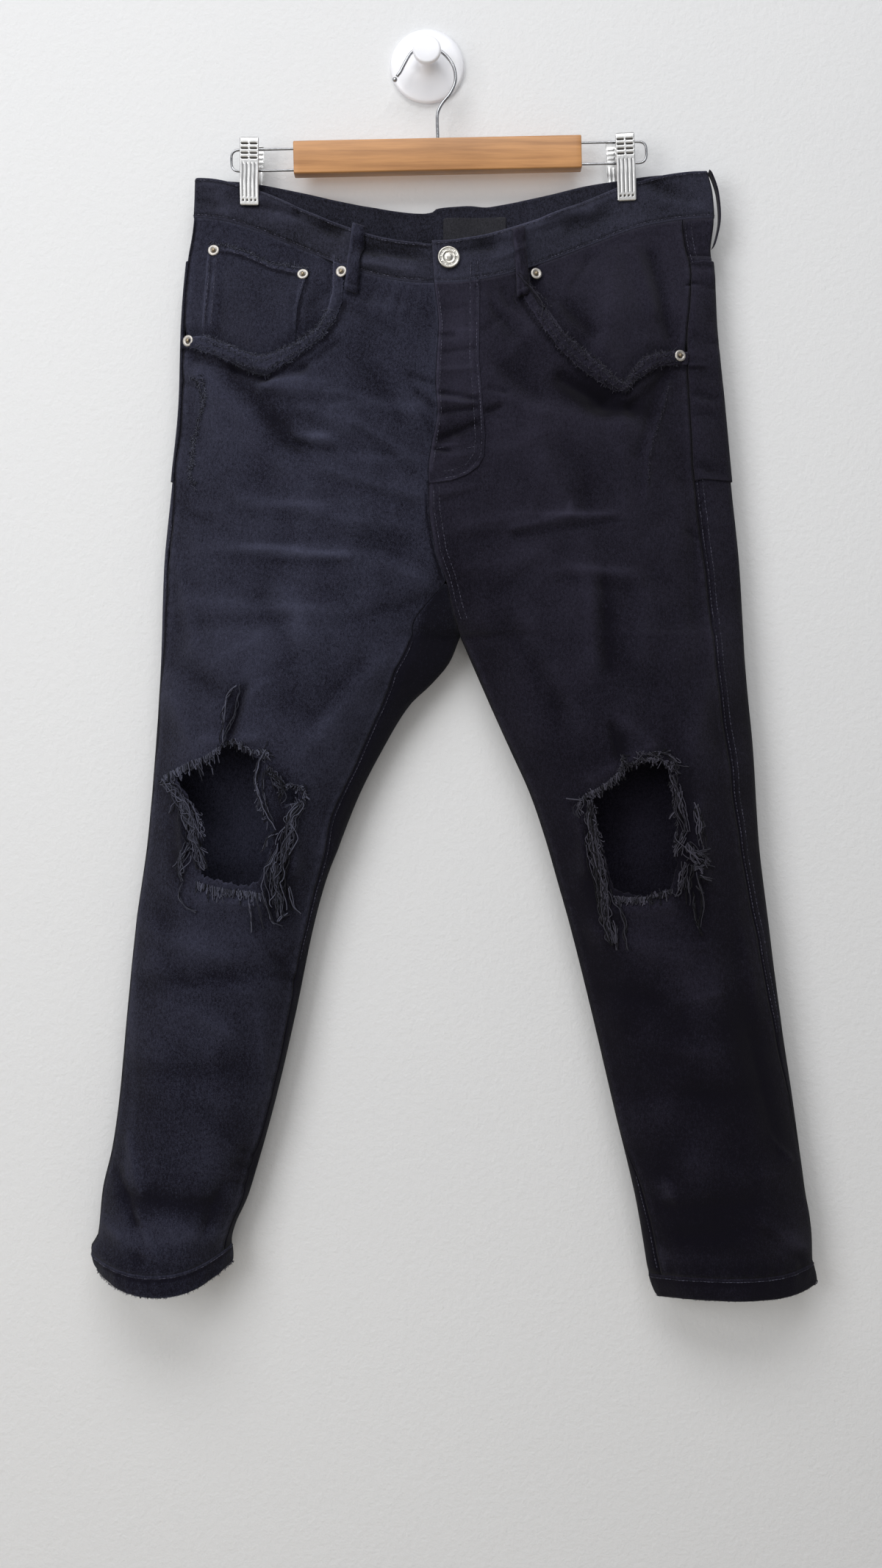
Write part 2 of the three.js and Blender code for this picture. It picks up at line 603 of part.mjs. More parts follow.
for (const end of [-1, 1]) {
  for (const level of [-0.5, 0.5]) {
    bar = bar.subtract(bore(WIRE + 0.35, "x", end * halfBar, level * WIRE_GAP));
  }
}
bar = bar.subtract(bore(HOOK_WIRE + 0.8, "z", 0, BAR.tall / 2));
add("hanger_bar", geometryOf(bar), wood, hanger);

// Side loops: two parallel wires joined by a half circle
const REACH = { left: 57.5, right: 60 };
for (const side of sides) {
  const sign = side === "left" ? -1 : 1;
  const radius = WIRE_GAP / 2;
  const straight = REACH[side] - radius;
  const points = [];
  for (const level of [1, -1]) {
    const run = [-10, 0, straight * 0.5, straight].map((d) => new THREE.Vector3(
      sign * (halfBar + d), 0, level * radius));
    points.push(...(level === 1 ? run : run.reverse()));
    if (level === 1) {
      for (let i = 1; i < 6; i += 1) {
        const angle = (Math.PI * i) / 6;
        points.push(new THREE.Vector3(sign * (halfBar + straight + radius * Math.sin(angle)), 0,
          radius * Math.cos(angle)));
      }
    }
  }
  add(`hanger_wire_${side}`, rod(points, WIRE, 34), metal, hanger);
}

// The hook: up from the bar, round over the wall hook's neck, to a ball-like end
const HOOK_ROUTE = [[9.8, -88], [9.9, -76], [9.4, -62], [9.9, -52], [14, -43.5], [21.5, -34],
  [26, -22.5], [24.5, -10], [17.8, 0], [9, 6.4], [0, 8.3], [-8.5, 6.8], [-14.5, 3],
  [-18.5, -3], [-22, -9.5], [-24.5, -14.5], [-27.7, -18.5]];
add("hanger_hook", rod(HOOK_ROUTE.map(([x, z]) => new THREE.Vector3(x, HANGER_Y, z)), HOOK_WIRE, 56),
  metal);
const tip = new THREE.SphereGeometry(2.3, 12, 8);
tip.translate(-29.6, HANGER_Y, -21.6);
add("hanger_hook_tip", tip, metal);

// ---------------------------------------------------------------- clips
// Pressed plates that pinch the cloth below and stand apart above, with a strap spring
// round the wires between them
const PLATE = 0.9;
const CLIP_WIDTH = 17.3;
const CLIP = {
  left: { x: -162, top: 79.5, lean: 0.01 },
  right: { x: 180.2, top: 75.5, lean: -0.05 },
};
function plate(outline) {
  const shape = new THREE.Shape(outline.map(([y, z]) => new THREE.Vector2(y, z)));
  const strip = new THREE.ExtrudeGeometry(shape, { depth: CLIP_WIDTH, bevelEnabled: false });
  strip.translate(0, 0, -CLIP_WIDTH / 2);
  strip.rotateX(Math.PI / 2);
  strip.rotateZ(Math.PI / 2);
  return strip;
}
for (const side of sides) {
  const clip = new THREE.Group();
  clip.position.set(CLIP[side].x, 0, -CLIP[side].top);
  clip.rotation.y = CLIP[side].lean;
  jeans.add(clip);
  // [y, z] of each plate's outer face, from the top down to the jaw
  const faceOf = (sign) => [[-22 + sign * 11.5, 0], [-22 + sign * 12.4, -3], [-22 + sign * 11.6, -24],
    [-22 + sign * 10.8, -40], [-22 + sign * 6.2, -59.5]];
  for (const [name, sign] of [["front", -1], ["back", 1]]) {
    const outerFace = faceOf(sign);
    const innerFace = outerFace.map(([y, z]) => [y - sign * PLATE, z]).reverse();
    add(`clip_${side}_${name}`, plate([...outerFace, ...innerFace]), metal, clip);
  }
  const wires = BAR.z - BAR.tilt * (CLIP[side].x - BAR.x) + CLIP[side].top;
  const strap = (deep, tall, wide) => {
    const block = new THREE.BoxGeometry(wide, deep, tall);
    block.translate(0, HANGER_Y, wires);
    return solid(block);
  };
  const spring = geometryOf(strap(19.2, WIRE_GAP + 6, 9).subtract(strap(17.2, WIRE_GAP + 4, 10)));
  add(`clip_${side}_spring`, spring, metal, clip);
}

// ---------------------------------------------------------------- wall hook
const wallHook = turned([[0, 0], [34.3, 0], [34.3, 2.2], [33, 3.8], [20, 5.6], [10, 9.5],
  [6.5, 15], [6.5, 27], [8, 30], [12.7, 31.5], [12.7, 34.5], [10.5, 37], [0, 38]], 32);
wallHook.rotateX(Math.PI);
add("wall_hook", wallHook, plastic);

export default jeans;
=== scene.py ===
"""Ripped black jeans clipped to a wooden bar hanger on a round wall hook.

Shapes are worked out in millimetres, as on the construction model, and scaled to metres when a mesh
is made. "left" and "right" are as seen from the front unless a piece's name says otherwise: pieces
are named for the wearer's side. "down" is the distance below the wall hook's centre.
"""
import math

import bpy
import numpy as np
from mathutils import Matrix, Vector


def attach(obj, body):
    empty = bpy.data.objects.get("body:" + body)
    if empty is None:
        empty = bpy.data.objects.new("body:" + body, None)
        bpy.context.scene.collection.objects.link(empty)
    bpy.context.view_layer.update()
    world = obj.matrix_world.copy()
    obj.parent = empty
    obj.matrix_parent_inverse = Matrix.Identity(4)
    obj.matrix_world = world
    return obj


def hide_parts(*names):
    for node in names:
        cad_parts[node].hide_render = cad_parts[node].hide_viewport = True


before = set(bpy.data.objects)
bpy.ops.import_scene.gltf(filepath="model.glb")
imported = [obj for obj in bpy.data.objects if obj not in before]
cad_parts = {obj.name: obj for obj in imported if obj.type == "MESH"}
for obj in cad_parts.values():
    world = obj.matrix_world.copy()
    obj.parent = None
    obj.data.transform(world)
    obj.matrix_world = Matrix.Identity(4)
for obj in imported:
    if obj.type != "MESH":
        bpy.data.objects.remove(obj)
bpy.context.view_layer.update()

MM = 0.001

# ------------------------------------------------------------------ the garment's form
WAIST_SEAM, CROTCH, HEM_TOP, HEM_END, FORK_SEAM = 150.0, 534.5, 1106.0, 1125.0, 487.0
CLOTH, GAP, SEAM_GAP = 1.2, 0.3, 0.05
UNDER_SEAM = WAIST_SEAM + SEAM_GAP
WAIST_DROP = {"front": 71.0, "back": 28.0}
OUTER_FOLD = 0.16                       # share of a face that turns round the side fold
FORK_FROM = 330.0                       # from this row the seat narrows into two legs
HEM_FROM, HEM_REACH = 1040.0, 85.0      # over this reach the leg's end sags out of level
DIP_REACH = 300.0                       # the waist's dip has gone this far below its seam
ROUND, FORK_ROUND = 2.6, 2.5            # powers that fill out the swell and the fork
PINCH_END, PINCH_REACH = 145.0, 100.0   # the clips flatten the waist down to here
HANGER_Y = -22.0
WEARER = {"left": "right", "right": "left"}


def mix(a, b, k):
    return a + (b - a) * k


def smooth(x):
    x = np.clip(x, 0, 1)
    return x * x * (3 - 2 * x)


def bell(away, width):
    """1 at no distance, falling smoothly to nothing."""
    return np.exp(-(away / width) ** 2)


def curve(points):
    """Smooth curve through (down, value) points, with no overshoot between them."""
    xs, ys = np.array(points, float).T
    h = np.diff(xs)
    slope = np.diff(ys) / h
    tangent = np.empty(len(xs))
    tangent[0], tangent[-1] = slope[0], slope[-1]
    a, b = slope[:-1], slope[1:]
    with np.errstate(divide="ignore", invalid="ignore"):
        tangent[1:-1] = np.where(a * b <= 0, 0, 2 * a * b / (a + b))

    def at(down):
        down = np.clip(down, xs[0], xs[-1])
        i = np.clip(np.searchsorted(xs, down, side="right") - 1, 0, len(h) - 1)
        k = (down - xs[i]) / h[i]
        bend = tangent[i] * k * (1 - k) ** 2 - tangent[i + 1] * k * k * (1 - k)
        return mix(ys[i], ys[i + 1], k * k * (3 - 2 * k)) + h[i] * bend
    return at


OUTER_X = {
    "left": curve([(106, -212.5), (150, -214), (193, -220.5), (253, -225), (314, -226.5),
                   (395, -234), (476, -241.5), (557, -244), (638, -249), (719, -256), (800, -267),
                   (880, -275), (961, -282.5), (1002, -288.5), (1042, -297.5), (1088, -301.5),
                   (1102, -307.5), (1116, -304.5), (1125, -301)]),
    "right": curve([(106, 257), (128, 262), (150, 263.5), (180, 260.5), (193, 262.5),
                    (253, 265.5), (314, 271.5), (395, 279), (476, 287), (557, 291.5), (638, 299),
                    (719, 304), (800, 313.5), (880, 323.5), (961, 335.5), (1042, 346.5),
                    (1083, 352.5), (1104, 353), (1125, 357)]),
}
INNER_X = {
    "left": curve([(534.5, 30.3), (557, 21), (577, 4.7), (597, -16), (638, -41), (678, -61.5),
                   (719, -78), (759, -93), (800, -104), (880, -120.5), (961, -139.5),
                   (1042, -162.5), (1083, -176), (1103, -179), (1125, -178)]),
    "right": curve([(534.5, 30.3), (557, 40), (597, 57.5), (638, 76), (678, 94), (719, 108),
                    (759, 119.5), (800, 131), (880, 151), (961, 170), (1042, 189.5), (1083, 198),
                    (1103, 202), (1125, 210)]),
}
CENTRE_X = {
    "front": curve([(181, 4.2), (218, 6.5), (258, 10.5), (310, 8), (336, 9.5), (368, 4),
                    (389, 1.5), (424, 2), (461, 8), (483, 16), (509, 23), (534.5, 30.3)]),
    "back": curve([(139, 8), (400, 18), (534.5, 30.3)]),
}
FOLD_Y = curve([(112, HANGER_Y), (200, -22), (350, -24), (1125, -26)])
FOLD_RADIUS = curve([(112, 3.2), (150, 3.2), (250, 5), (1125, 5)])
DEPTH = {
    ("front", "left"): curve([(112, 34), (250, 36), (534, 36), (700, 33), (900, 28), (1030, 29),
                              (1125, 42)]),
    ("front", "right"): curve([(112, 34), (250, 36), (534, 36), (700, 33), (900, 27), (1030, 26),
                               (1125, 29)]),
    ("back", "left"): curve([(112, 9), (350, 12), (534, 12), (900, 10), (1030, 10), (1125, 13)]),
    ("back", "right"): curve([(112, 9), (350, 12), (534, 12), (900, 10), (1125, 10)]),
}
PINCH = {"left": 0.28, "right": 0.37}
DROP_POWER = {"left": 1.0, "right": 1.15}
HEM_SAG = {
    ("front", "left"): (-12, 0, -19), ("back", "left"): (-12, -10, -19),
    ("front", "right"): (-1, 7, 12), ("back", "right"): (-1, 2, 12),
}
OUTSEAM_IN = {
    "left": curve([(106, 2), (400, 3), (435, 5), (540, 3.5), (620, 0.5), (1125, 0.5)]),
    "right": curve([(106, 27), (150, 29), (190, 22), (275, 31), (385, 36), (520, 33), (640, 27),
                    (740, 20), (860, 12), (960, 4), (1010, 0.5), (1125, 0.5)]),
}
INSEAM_IN = {
    "left": curve([(487, 0.2), (534.5, 43), (560, 44), (600, 23), (660, 15.5), (695, 15.5),
                   (760, 6.5), (1000, 4.5), (1125, 5)]),
    "right": curve([(534.5, 0.5), (985, 0.5), (1040, 7), (1125, 10)]),
}


def face_surface(side, face, s, row):
    """Points on one face of one half, s from 0 at the outer fold to 1 at the centre or inner fold."""
    open_k = np.clip((row - FORK_FROM) / (CROTCH - FORK_FROM), 0, 1)
    share = np.sqrt(np.maximum(0, 1 - open_k ** FORK_ROUND))
    drop = WAIST_DROP[face] * (1 - smooth((row - WAIST_SEAM) / DIP_REACH))
    radius = FOLD_RADIUS(row)
    outer = OUTER_X[side](row)
    inner = np.where(row > CROTCH, INNER_X[side](row), CENTRE_X[face](row + drop))
    inner = inner + (GAP if side == "right" else 0)
    width = np.abs(inner - outer)
    k = np.clip((s - OUTER_FOLD) / (1 - OUTER_FOLD), 0, 1)
    k_leg = np.clip((s - OUTER_FOLD) / (1 - 2 * OUTER_FOLD), 0, 1)
    fold_out = np.minimum(1, s / OUTER_FOLD) * math.pi / 2
    fold_in = np.minimum(1, (1 - s) / OUTER_FOLD) * math.pi / 2
    body = radius * (1 - np.cos(fold_out)) + (width - radius) * k
    leg = (radius * (1 - np.cos(fold_out)) + (width - 2 * radius) * k_leg
           + radius * np.cos(fold_in))
    across = mix(leg, body, share) / width
    rounded = np.sin(fold_out) * mix(np.sin(fold_in), 1, share)
    held = smooth((across - PINCH[side]) / (1 - PINCH[side]))
    opened = 1 - np.maximum(0, 1 - across) ** ROUND
    whole = mix(held, opened, smooth((row - PINCH_END) / PINCH_REACH))
    tube = 1 - np.abs(2 * across - 1) ** ROUND
    swell = mix(tube, whole, share) * DEPTH[face, side](row)
    sign = -1 if face == "front" else 1
    sag_out, sag_mid, sag_in = HEM_SAG[face, side]
    bow = 4 * across * (1 - across)
    hem = smooth((row - HEM_FROM) / HEM_REACH)
    sag = hem * (mix(sag_out, sag_in, across) * (1 - bow) + sag_mid * bow)
    dip = drop * np.sin(math.pi / 2 * np.clip(across, 0, 1)) ** (2 * DROP_POWER[side])
    x = outer + (inner - outer) * across
    return np.stack([x, FOLD_Y(row) + sign * (radius * rounded + swell), -(row + dip + sag)], -1)


def surface(side, q, row):
    """Outer surface. q: 0 at the outer fold, 1 at the front centre, -1 behind it, and below -1
    round the inner fold to the front."""
    q, row = np.broadcast_arrays(np.asarray(q, float), np.asarray(row, float))
    back = (q < 0) & (q >= -1)
    s = np.where(q < -1, 2 + q, np.abs(q))
    front_points = face_surface(side, "front", s, row)
    back_points = face_surface(side, "back", s, row)
    return np.where(back[..., None], back_points, front_points)


def unit(v):
    return v / np.maximum(np.linalg.norm(v, axis=-1, keepdims=True), 1e-9)


def normal(side, q, row):
    """Outward normals of the smooth form."""
    q, row = np.broadcast_arrays(np.asarray(q, float), np.asarray(row, float))
    step = 0.004
    closed = row >= CROTCH
    low, high = q - step, q + step
    edge_low = ~closed & (q < 0) & (q >= -1) & (low < -1)
    low = np.where(edge_low, q, low)
    high = np.where(~closed & (q > 0) & (high > 1), q, high)
    high = np.where(~closed & (q < -1) & (high > -1), -1.00001, high)
    low, high = (np.where(v > 1, v - 2, v) for v in (low, high))
    around = surface(side, high, row) - surface(side, low, row)
    along = surface(side, q, row + 1) - surface(side, q, row - np.where(closed, 0, 1))
    out = unit(np.cross(around, along))
    return -out if side == "left" else out


def at_inset(side, row, inset, from_inner=False):
    """s on the front at a distance in from the outer or inner fold."""
    low, high = np.zeros_like(row), np.ones_like(row)
    edge = face_surface(side, "front", high if from_inner else low, row)[..., 0]
    for _ in range(26):
        middle = (low + high) / 2
        near = np.abs(face_surface(side, "front", middle, row)[..., 0] - edge) < inset
        grow = near != from_inner
        low, high = np.where(grow, middle, low), np.where(grow, high, middle)
    return (low + high) / 2


def outseam(side, row):
    """q of the outseam, which shows on the front."""
    return at_inset(side, row, OUTSEAM_IN[side](row))


def inseam(side, row):
    start = FORK_SEAM if side == "left" else CROTCH
    return np.where(row <= start, 1, at_inset(side, row, INSEAM_IN[side](row), True))


YOKE_TOP, YOKE_POINT, YOKE_END = 185, 45, 240


def yoke_line(q):
    """Row of the yoke's lower edge: lowest at the centre back."""
    return YOKE_TOP + YOKE_POINT * np.clip(-q, 0, 1)


def stepped(side, q, row, distance):
    """q moved by a distance along the cloth."""
    h = 0.002
    around = np.clip(q, -1 + h, 1 - h)
    length = np.linalg.norm(surface(side, around + h, row) - surface(side, around - h, row), axis=-1)
    return q + distance * 2 * h / length


def locate(side, face, x, down):
    """(s, row) of places given by x and down on one face of one half."""
    x, down = np.broadcast_arrays(np.asarray(x, float), np.asarray(down, float))
    s, row = np.full(x.shape, 0.5), down.copy()
    for _ in range(8):
        low, high = np.zeros(x.shape), np.ones(x.shape)
        edge = face_surface(side, face, low, row)[..., 0]
        for _ in range(16):
            s = (low + high) / 2
            near = np.abs(face_surface(side, face, s, row)[..., 0] - edge) < np.abs(x - edge)
            low, high = np.where(near, s, low), np.where(near, high, s)
        row = row + down + face_surface(side, face, s, row)[..., 2]
    return s, row


# ------------------------------------------------------------------ outlines, as (x, down)
SCOOP = {
    "left": {
        "edge": [(-84.5, 190), (-85, 224), (-89, 243), (-98, 260), (-110, 269), (-122.5, 276),
                 (-140.5, 283.5), (-153.5, 284), (-166, 279), (-180, 272), (-201, 262),
                 (-232, 260)],
        "band": [(-74, 184), (-76, 231.5), (-81, 249.5), (-92, 266), (-106, 278), (-122, 289),
                 (-144, 301.5), (-154, 299), (-164, 295), (-188, 281.5), (-212, 272),
                 (-232, 269)]},
    "right": {
        "edge": [(87, 180), (94.5, 219), (109, 243), (123.5, 266), (140.5, 281), (154.5, 292.5),
                 (168, 305), (177.5, 308.5), (185, 298), (193, 287), (207, 280), (222.5, 277),
                 (250, 277)],
        "band": [(78, 180), (86, 228), (101, 256), (119, 280.5), (136.5, 296), (157, 309),
                 (168, 315.5), (180, 316), (188, 306), (201, 297), (212, 291), (229.5, 288.5),
                 (250, 288)]},
}
FACING = {
    "left": [(-72, 140), (-72, 250), (-90, 285), (-120, 305), (-160, 310), (-260, 290),
             (-260, 140)],
    "right": [(76, 140), (80, 250), (110, 295), (150, 325), (185, 328), (260, 300), (260, 140)],
}
COIN_POCKET = [(-200, 173), (-203.5, 235), (-206, 290), (-119, 290), (-118.5, 268), (-117, 239),
               (-108, 199), (-143, 193.5), (-170, 181)]
FLY = [(-20, 140), (47.5, 140), (46.5, 290), (52, 359), (51, 377), (46, 386), (36, 393),
       (22, 398.5), (6, 400.5), (-20, 400.5)]
BACK_POCKET = {
    "left": [(-300, 190), (-215, 190), (-66, 244), (-66, 405), (-146, 420), (-215, 392),
             (-300, 392)],
    "right": [(320, 190), (250, 190), (80, 244), (80, 405), (160, 420), (250, 392), (320, 392)],
}
KNEE_HOLE = {
    "left": [(-226, 664), (-212, 651), (-193, 644), (-180, 633), (-171.5, 630), (-164, 639),
             (-150.5, 646), (-151, 679), (-139.5, 702), (-136.5, 711), (-142, 738), (-151, 757),
             (-165, 760), (-200, 751.5), (-201, 718), (-204, 697), (-213, 683)],
    "right": [(140, 678.5), (153, 675), (168, 663), (181, 651.5), (206, 647), (214, 653),
              (219, 666), (219, 688), (225.5, 707.5), (222, 726.5), (225.5, 742), (216.5, 763.5),
              (194.5, 769.5), (169, 765), (159, 734.5), (151, 701), (151, 688.5)],
}
SMALL_HOLE = [(-131, 676), (-122, 673), (-114, 678), (-117, 686), (-127, 687)]
LABEL = [(15, 145.5), (73, 145.5), (73, 176), (15, 176)]


def segments_distance(x, down, points):
    """Distance from each place to a chain of (x, down) points."""
    best = np.full(np.shape(x), 1e9)
    for (x0, d0), (x1, d1) in zip(points[:-1], points[1:]):
        dx, dd = x1 - x0, d1 - d0
        t = np.clip(((x - x0) * dx + (down - d0) * dd) / (dx * dx + dd * dd + 1e-9), 0, 1)
        best = np.minimum(best, np.hypot(x - x0 - t * dx, down - d0 - t * dd))
    return best


def inside_by(outline):
    """Signed distance field of an outline: positive inside."""
    ring = list(outline) + [outline[0]]

    def field(x, down):
        inside = np.zeros(np.shape(x), bool)
        for (x0, d0), (x1, d1) in zip(ring[:-1], ring[1:]):
            if d0 != d1:
                crosses = (d0 > down) != (d1 > down)
                inside ^= crosses & (x < (x1 - x0) * (down - d0) / (d1 - d0) + x0)
        distance = segments_distance(x, down, ring)
        return np.where(inside, distance, -distance)
    return field


def scoop_opening(side):
    """Outline of the pocket opening, taken out past the waist and the side fold."""
    edge = SCOOP[side]["edge"]
    far = -260 if side == "left" else 300
    return [*edge, (far, 260), (far, 90), (edge[0][0], 90)]


# ------------------------------------------------------------------ folds and rumples
# Creases on the front, (x, down) ends, half width and height: troughs are negative
CREASES = [
    # under the right pocket's band: a deep pouch, and the soft folds beside it
    (122, 306, 160, 326, 8, -3.6), (150, 330, 184, 332, 8, -2.6), (184, 330, 218, 300, 6, -1.6),
    (104, 338, 190, 352, 16, 1.6), (66, 296, 100, 322, 9, -1.2), (60, 318, 104, 340, 7, 1.0),
    (220, 306, 200, 372, 2.4, 0.9), (200, 372, 197, 412, 2.2, 0.8), (212, 300, 190, 372, 5, -1.0),
    (120, 232, 150, 262, 10, -2.4), (172, 190, 158, 280, 12, 2.2), (205, 185, 222, 262, 7, -2.0),
    (135, 205, 118, 236, 7, 1.6), (190, 180, 205, 240, 5, 1.2), (150, 186, 132, 216, 5, -1.2),
    # under the waist seam
    (-50, 224, -56, 240, 3, -0.7), (-38, 228, -43, 246, 3, -0.6), (-24, 230, -29, 250, 3, -0.7),
    (-13, 232, -17, 252, 3, -0.6), (57, 228, 62, 246, 3, -0.7), (68, 224, 74, 240, 3, -0.6),
    (-92, 222, -104, 236, 4, -0.8), (96, 214, 108, 226, 4, -0.9), (-60, 236, -20, 244, 4, 0.6),
    (54, 232, 84, 252, 5, 0.7), (60, 240, 92, 282, 5, -0.8), (-70, 240, -30, 262, 5, -0.6),
    # drags from the fly and the fork
    (60, 300, 92, 262, 8, 1.0), (56, 316, 70, 319, 3, -1.5), (55, 336, 66, 332, 3, -1.6),
    (62, 372, 120, 352, 10, 0.9), (52, 262, 66, 250, 4, -0.8), (58, 344, 74, 352, 4, 0.6),
    (12, 268, 24, 268, 2.6, -1.4), (12, 244, 34, 242, 3, -0.5), (14, 284, 42, 280, 3, -1.1),
    (12, 300, 40, 298, 3, 1.0), (12, 320, 44, 325, 2.6, -1.8), (12, 327, 40, 330, 3, 1.3),
    (12, 338, 44, 333, 3, -1.6), (14, 346, 26, 362, 4, 1.2), (44, 348, 12, 362, 4, -2.0),
    (8, 370, 20, 372, 2.2, -1.8), (8, 376, 30, 376, 3, 0.6), (10, 385, 44, 372, 5, 0.7),
    (12, 410, 40, 404, 4, 0.7), (12, 418, 38, 410, 4, -0.6),
    (-8, 320, 6, 332, 3, -1.8), (-14, 304, 8, 312, 3, -1.3), (-4, 340, 5, 352, 3, -0.7),
    (-77, 319, -4, 341, 4, 0.7), (-64, 345, -6, 382, 4, 0.8), (-62, 352, -12, 392, 4, -0.7),
    (-90, 388, -6, 412, 5, 0.8), (-92, 396, -10, 421, 5, -0.6), (-100, 428, -8, 440, 6, 0.7),
    (-96, 444, -12, 458, 7, -0.7), (-52, 300, -24, 345, 6, -0.7), (-40, 290, -10, 336, 5, 0.6),
    (8, 500, -62, 522, 8, -1.0), (-2, 488, -40, 470, 8, 0.8), (-6, 470, -60, 456, 6, -0.6),
    (30, 440, 80, 430, 6, 0.7), (30, 452, 84, 444, 7, -0.7), (34, 476, 100, 466, 9, 0.8),
    # below the left pocket's band: puckers fan from its point
    (-212, 281, -176, 294, 4, -1.8), (-176, 294, -146, 304, 4, -2.0), (-146, 304, -112, 296, 4, -1.6),
    (-112, 296, -82, 274, 3.5, -1.2), (-146, 308, -110, 306, 4, 1.4), (-148, 312, -77, 319, 4, 1.0),
    (-144, 318, -92, 334, 5, -1.0), (-173, 300, -116, 366, 9, -1.9), (-128, 362, -84, 371, 4, -1.3),
    (-116, 357, -88, 360, 5, 1.1), (-206, 300, -150, 352, 12, 1.4), (-196, 340, -122, 388, 10, 1.0),
    (-78, 236, -90, 268, 5, -0.9), (-128, 322, -66, 348, 6, 0.8), (-120, 334, -64, 366, 6, -0.8),
    (-160, 215, -152, 275, 14, 1.4), (-186, 200, -190, 255, 6, -1.0), (-120, 232, -118, 262, 5, -0.9),
    (-224, 300, -204, 312, 4, -0.8),
    # left thigh, fine whiskers
    (-190, 452, -116, 461, 4, 0.8), (-116, 461, -70, 466, 4, 0.8), (-196, 462, -80, 474, 6, -0.7),
    (-170, 412, -90, 424, 5, 0.7), (-176, 422, -92, 434, 6, -0.6), (-131, 495, -100, 544, 6, 0.8),
    (-150, 500, -118, 556, 7, -0.8), (-212, 505, -108, 512, 8, 0.8), (-205, 524, -120, 520, 7, -0.7),
    (-222, 420, -196, 432, 4, -0.6), (-232, 560, -176, 590, 9, -1.1), (-190, 560, -150, 540, 9, 0.9),
    (-40, 560, -110, 640, 12, 1.1), (-232, 590, -208, 640, 8, 1.0), (-100, 610, -60, 560, 9, -0.9),
    (-140, 572, -118, 560, 6, -0.7), (-226, 470, -210, 545, 6, 0.7),
    # right thigh
    (77, 441, 128, 429, 3.4, 1.1), (128, 429, 168, 427, 3.4, 0.9), (80, 448, 168, 433, 5, -1.1),
    (125, 474, 190, 484, 5, 0.9), (120, 486, 180, 494, 6, -0.8), (146, 490, 148, 560, 8, 1.1),
    (158, 484, 162, 566, 7, -1.4), (196, 500, 190, 560, 9, 0.8), (90, 520, 140, 620, 13, 1.0),
    (70, 520, 118, 600, 10, -0.9), (262, 520, 240, 640, 12, 0.9), (245, 420, 240, 520, 8, -0.8),
    (100, 356, 120, 420, 9, 0.7), (142, 380, 146, 420, 8, -0.6), (176, 340, 178, 420, 8, 0.8),
    (104, 380, 92, 430, 7, 0.6), (236, 440, 246, 446, 3, -0.8), (60, 500, 100, 474, 8, -0.7),
    # knees: the cloth curls away round the torn edges
    (-152, 628, -196, 630, 6, 1.4), (-122, 690, -118, 745, 6, 1.6), (-220, 700, -216, 745, 5, 1.5),
    (-196, 772, -150, 777, 6, 1.3), (150, 664, 200, 638, 6, 1.5), (244, 690, 246, 750, 7, 1.6),
    (138, 700, 144, 745, 6, 1.4), (170, 782, 216, 779, 6, 1.4), (-163, 584, -178, 632, 4, -2.0),
    (-158, 590, -140, 576, 5, 0.9), (165, 618, 172, 645, 3.4, -1.8), (178, 616, 200, 632, 5, 0.8),
    # below the knees
    (-250, 800, -180, 826, 10, 1.0), (-226, 856, -160, 855, 4, 0.5), (-210, 872, -180, 892, 6, 0.7),
    (-255, 850, -150, 838, 10, -0.9), (-140, 824, -126, 832, 3, -0.8), (-138, 842, -122, 848, 3, -0.8),
    (-150, 800, -122, 850, 8, -0.9), (-262, 930, -180, 924, 10, -0.8), (-150, 880, -146, 950, 8, 0.9),
    (-166, 1000, -156, 1008, 3, -0.9), (-172, 1012, -160, 1020, 3, -0.9),
    (-176, 1028, -166, 1034, 3, -0.8), (-270, 990, -256, 1036, 4, 0.9),
    (-280, 1020, -262, 1062, 5, -1.3), (-268, 1040, -190, 1048, 9, -1.6),
    (-258, 1052, -246, 1080, 3, 0.9), (-240, 1062, -190, 1076, 9, 1.3),
    (-292, 1066, -262, 1084, 6, 1.1), (-200, 1074, -184, 1030, 6, -1.1),
    (-250, 1088, -200, 1096, 5, 0.7), (-270, 1078, -256, 1092, 4, -0.8),
    (210, 812, 250, 816, 2.6, 0.6), (150, 800, 230, 826, 11, 0.9), (222, 866, 262, 856, 3, 0.8),
    (160, 856, 232, 868, 9, -0.8), (280, 780, 300, 880, 9, 1.0), (190, 900, 262, 912, 11, 0.8),
    (196, 950, 300, 944, 11, -0.9), (292, 900, 318, 1000, 8, -1.0), (312, 990, 330, 1010, 3, 0.9),
    (216, 1028, 224, 1046, 3, 0.8), (240, 1010, 300, 1022, 10, 0.8), (230, 1076, 290, 1068, 7, -1.0),
    (300, 1060, 344, 1092, 5, 1.1), (304, 1072, 338, 1098, 4, -0.8), (215, 1050, 290, 1046, 8, -0.8),
    # the back panel's strip at the right edge
    (236, 213, 264, 214, 1.3, -0.9), (238, 204, 262, 205, 6, 0.7), (244, 262, 266, 268, 2.6, -0.9),
    (244, 314, 262, 318, 2.4, -1.1),
    (244, 322, 262, 324, 2.4, 0.7), (244, 332, 258, 334, 2.4, -1.0), (246, 378, 262, 384, 3, -1.1),
    (246, 388, 262, 392, 3, 0.8), (252, 426, 282, 432, 5, 0.6), (250, 296, 270, 300, 3.5, -0.6),
]
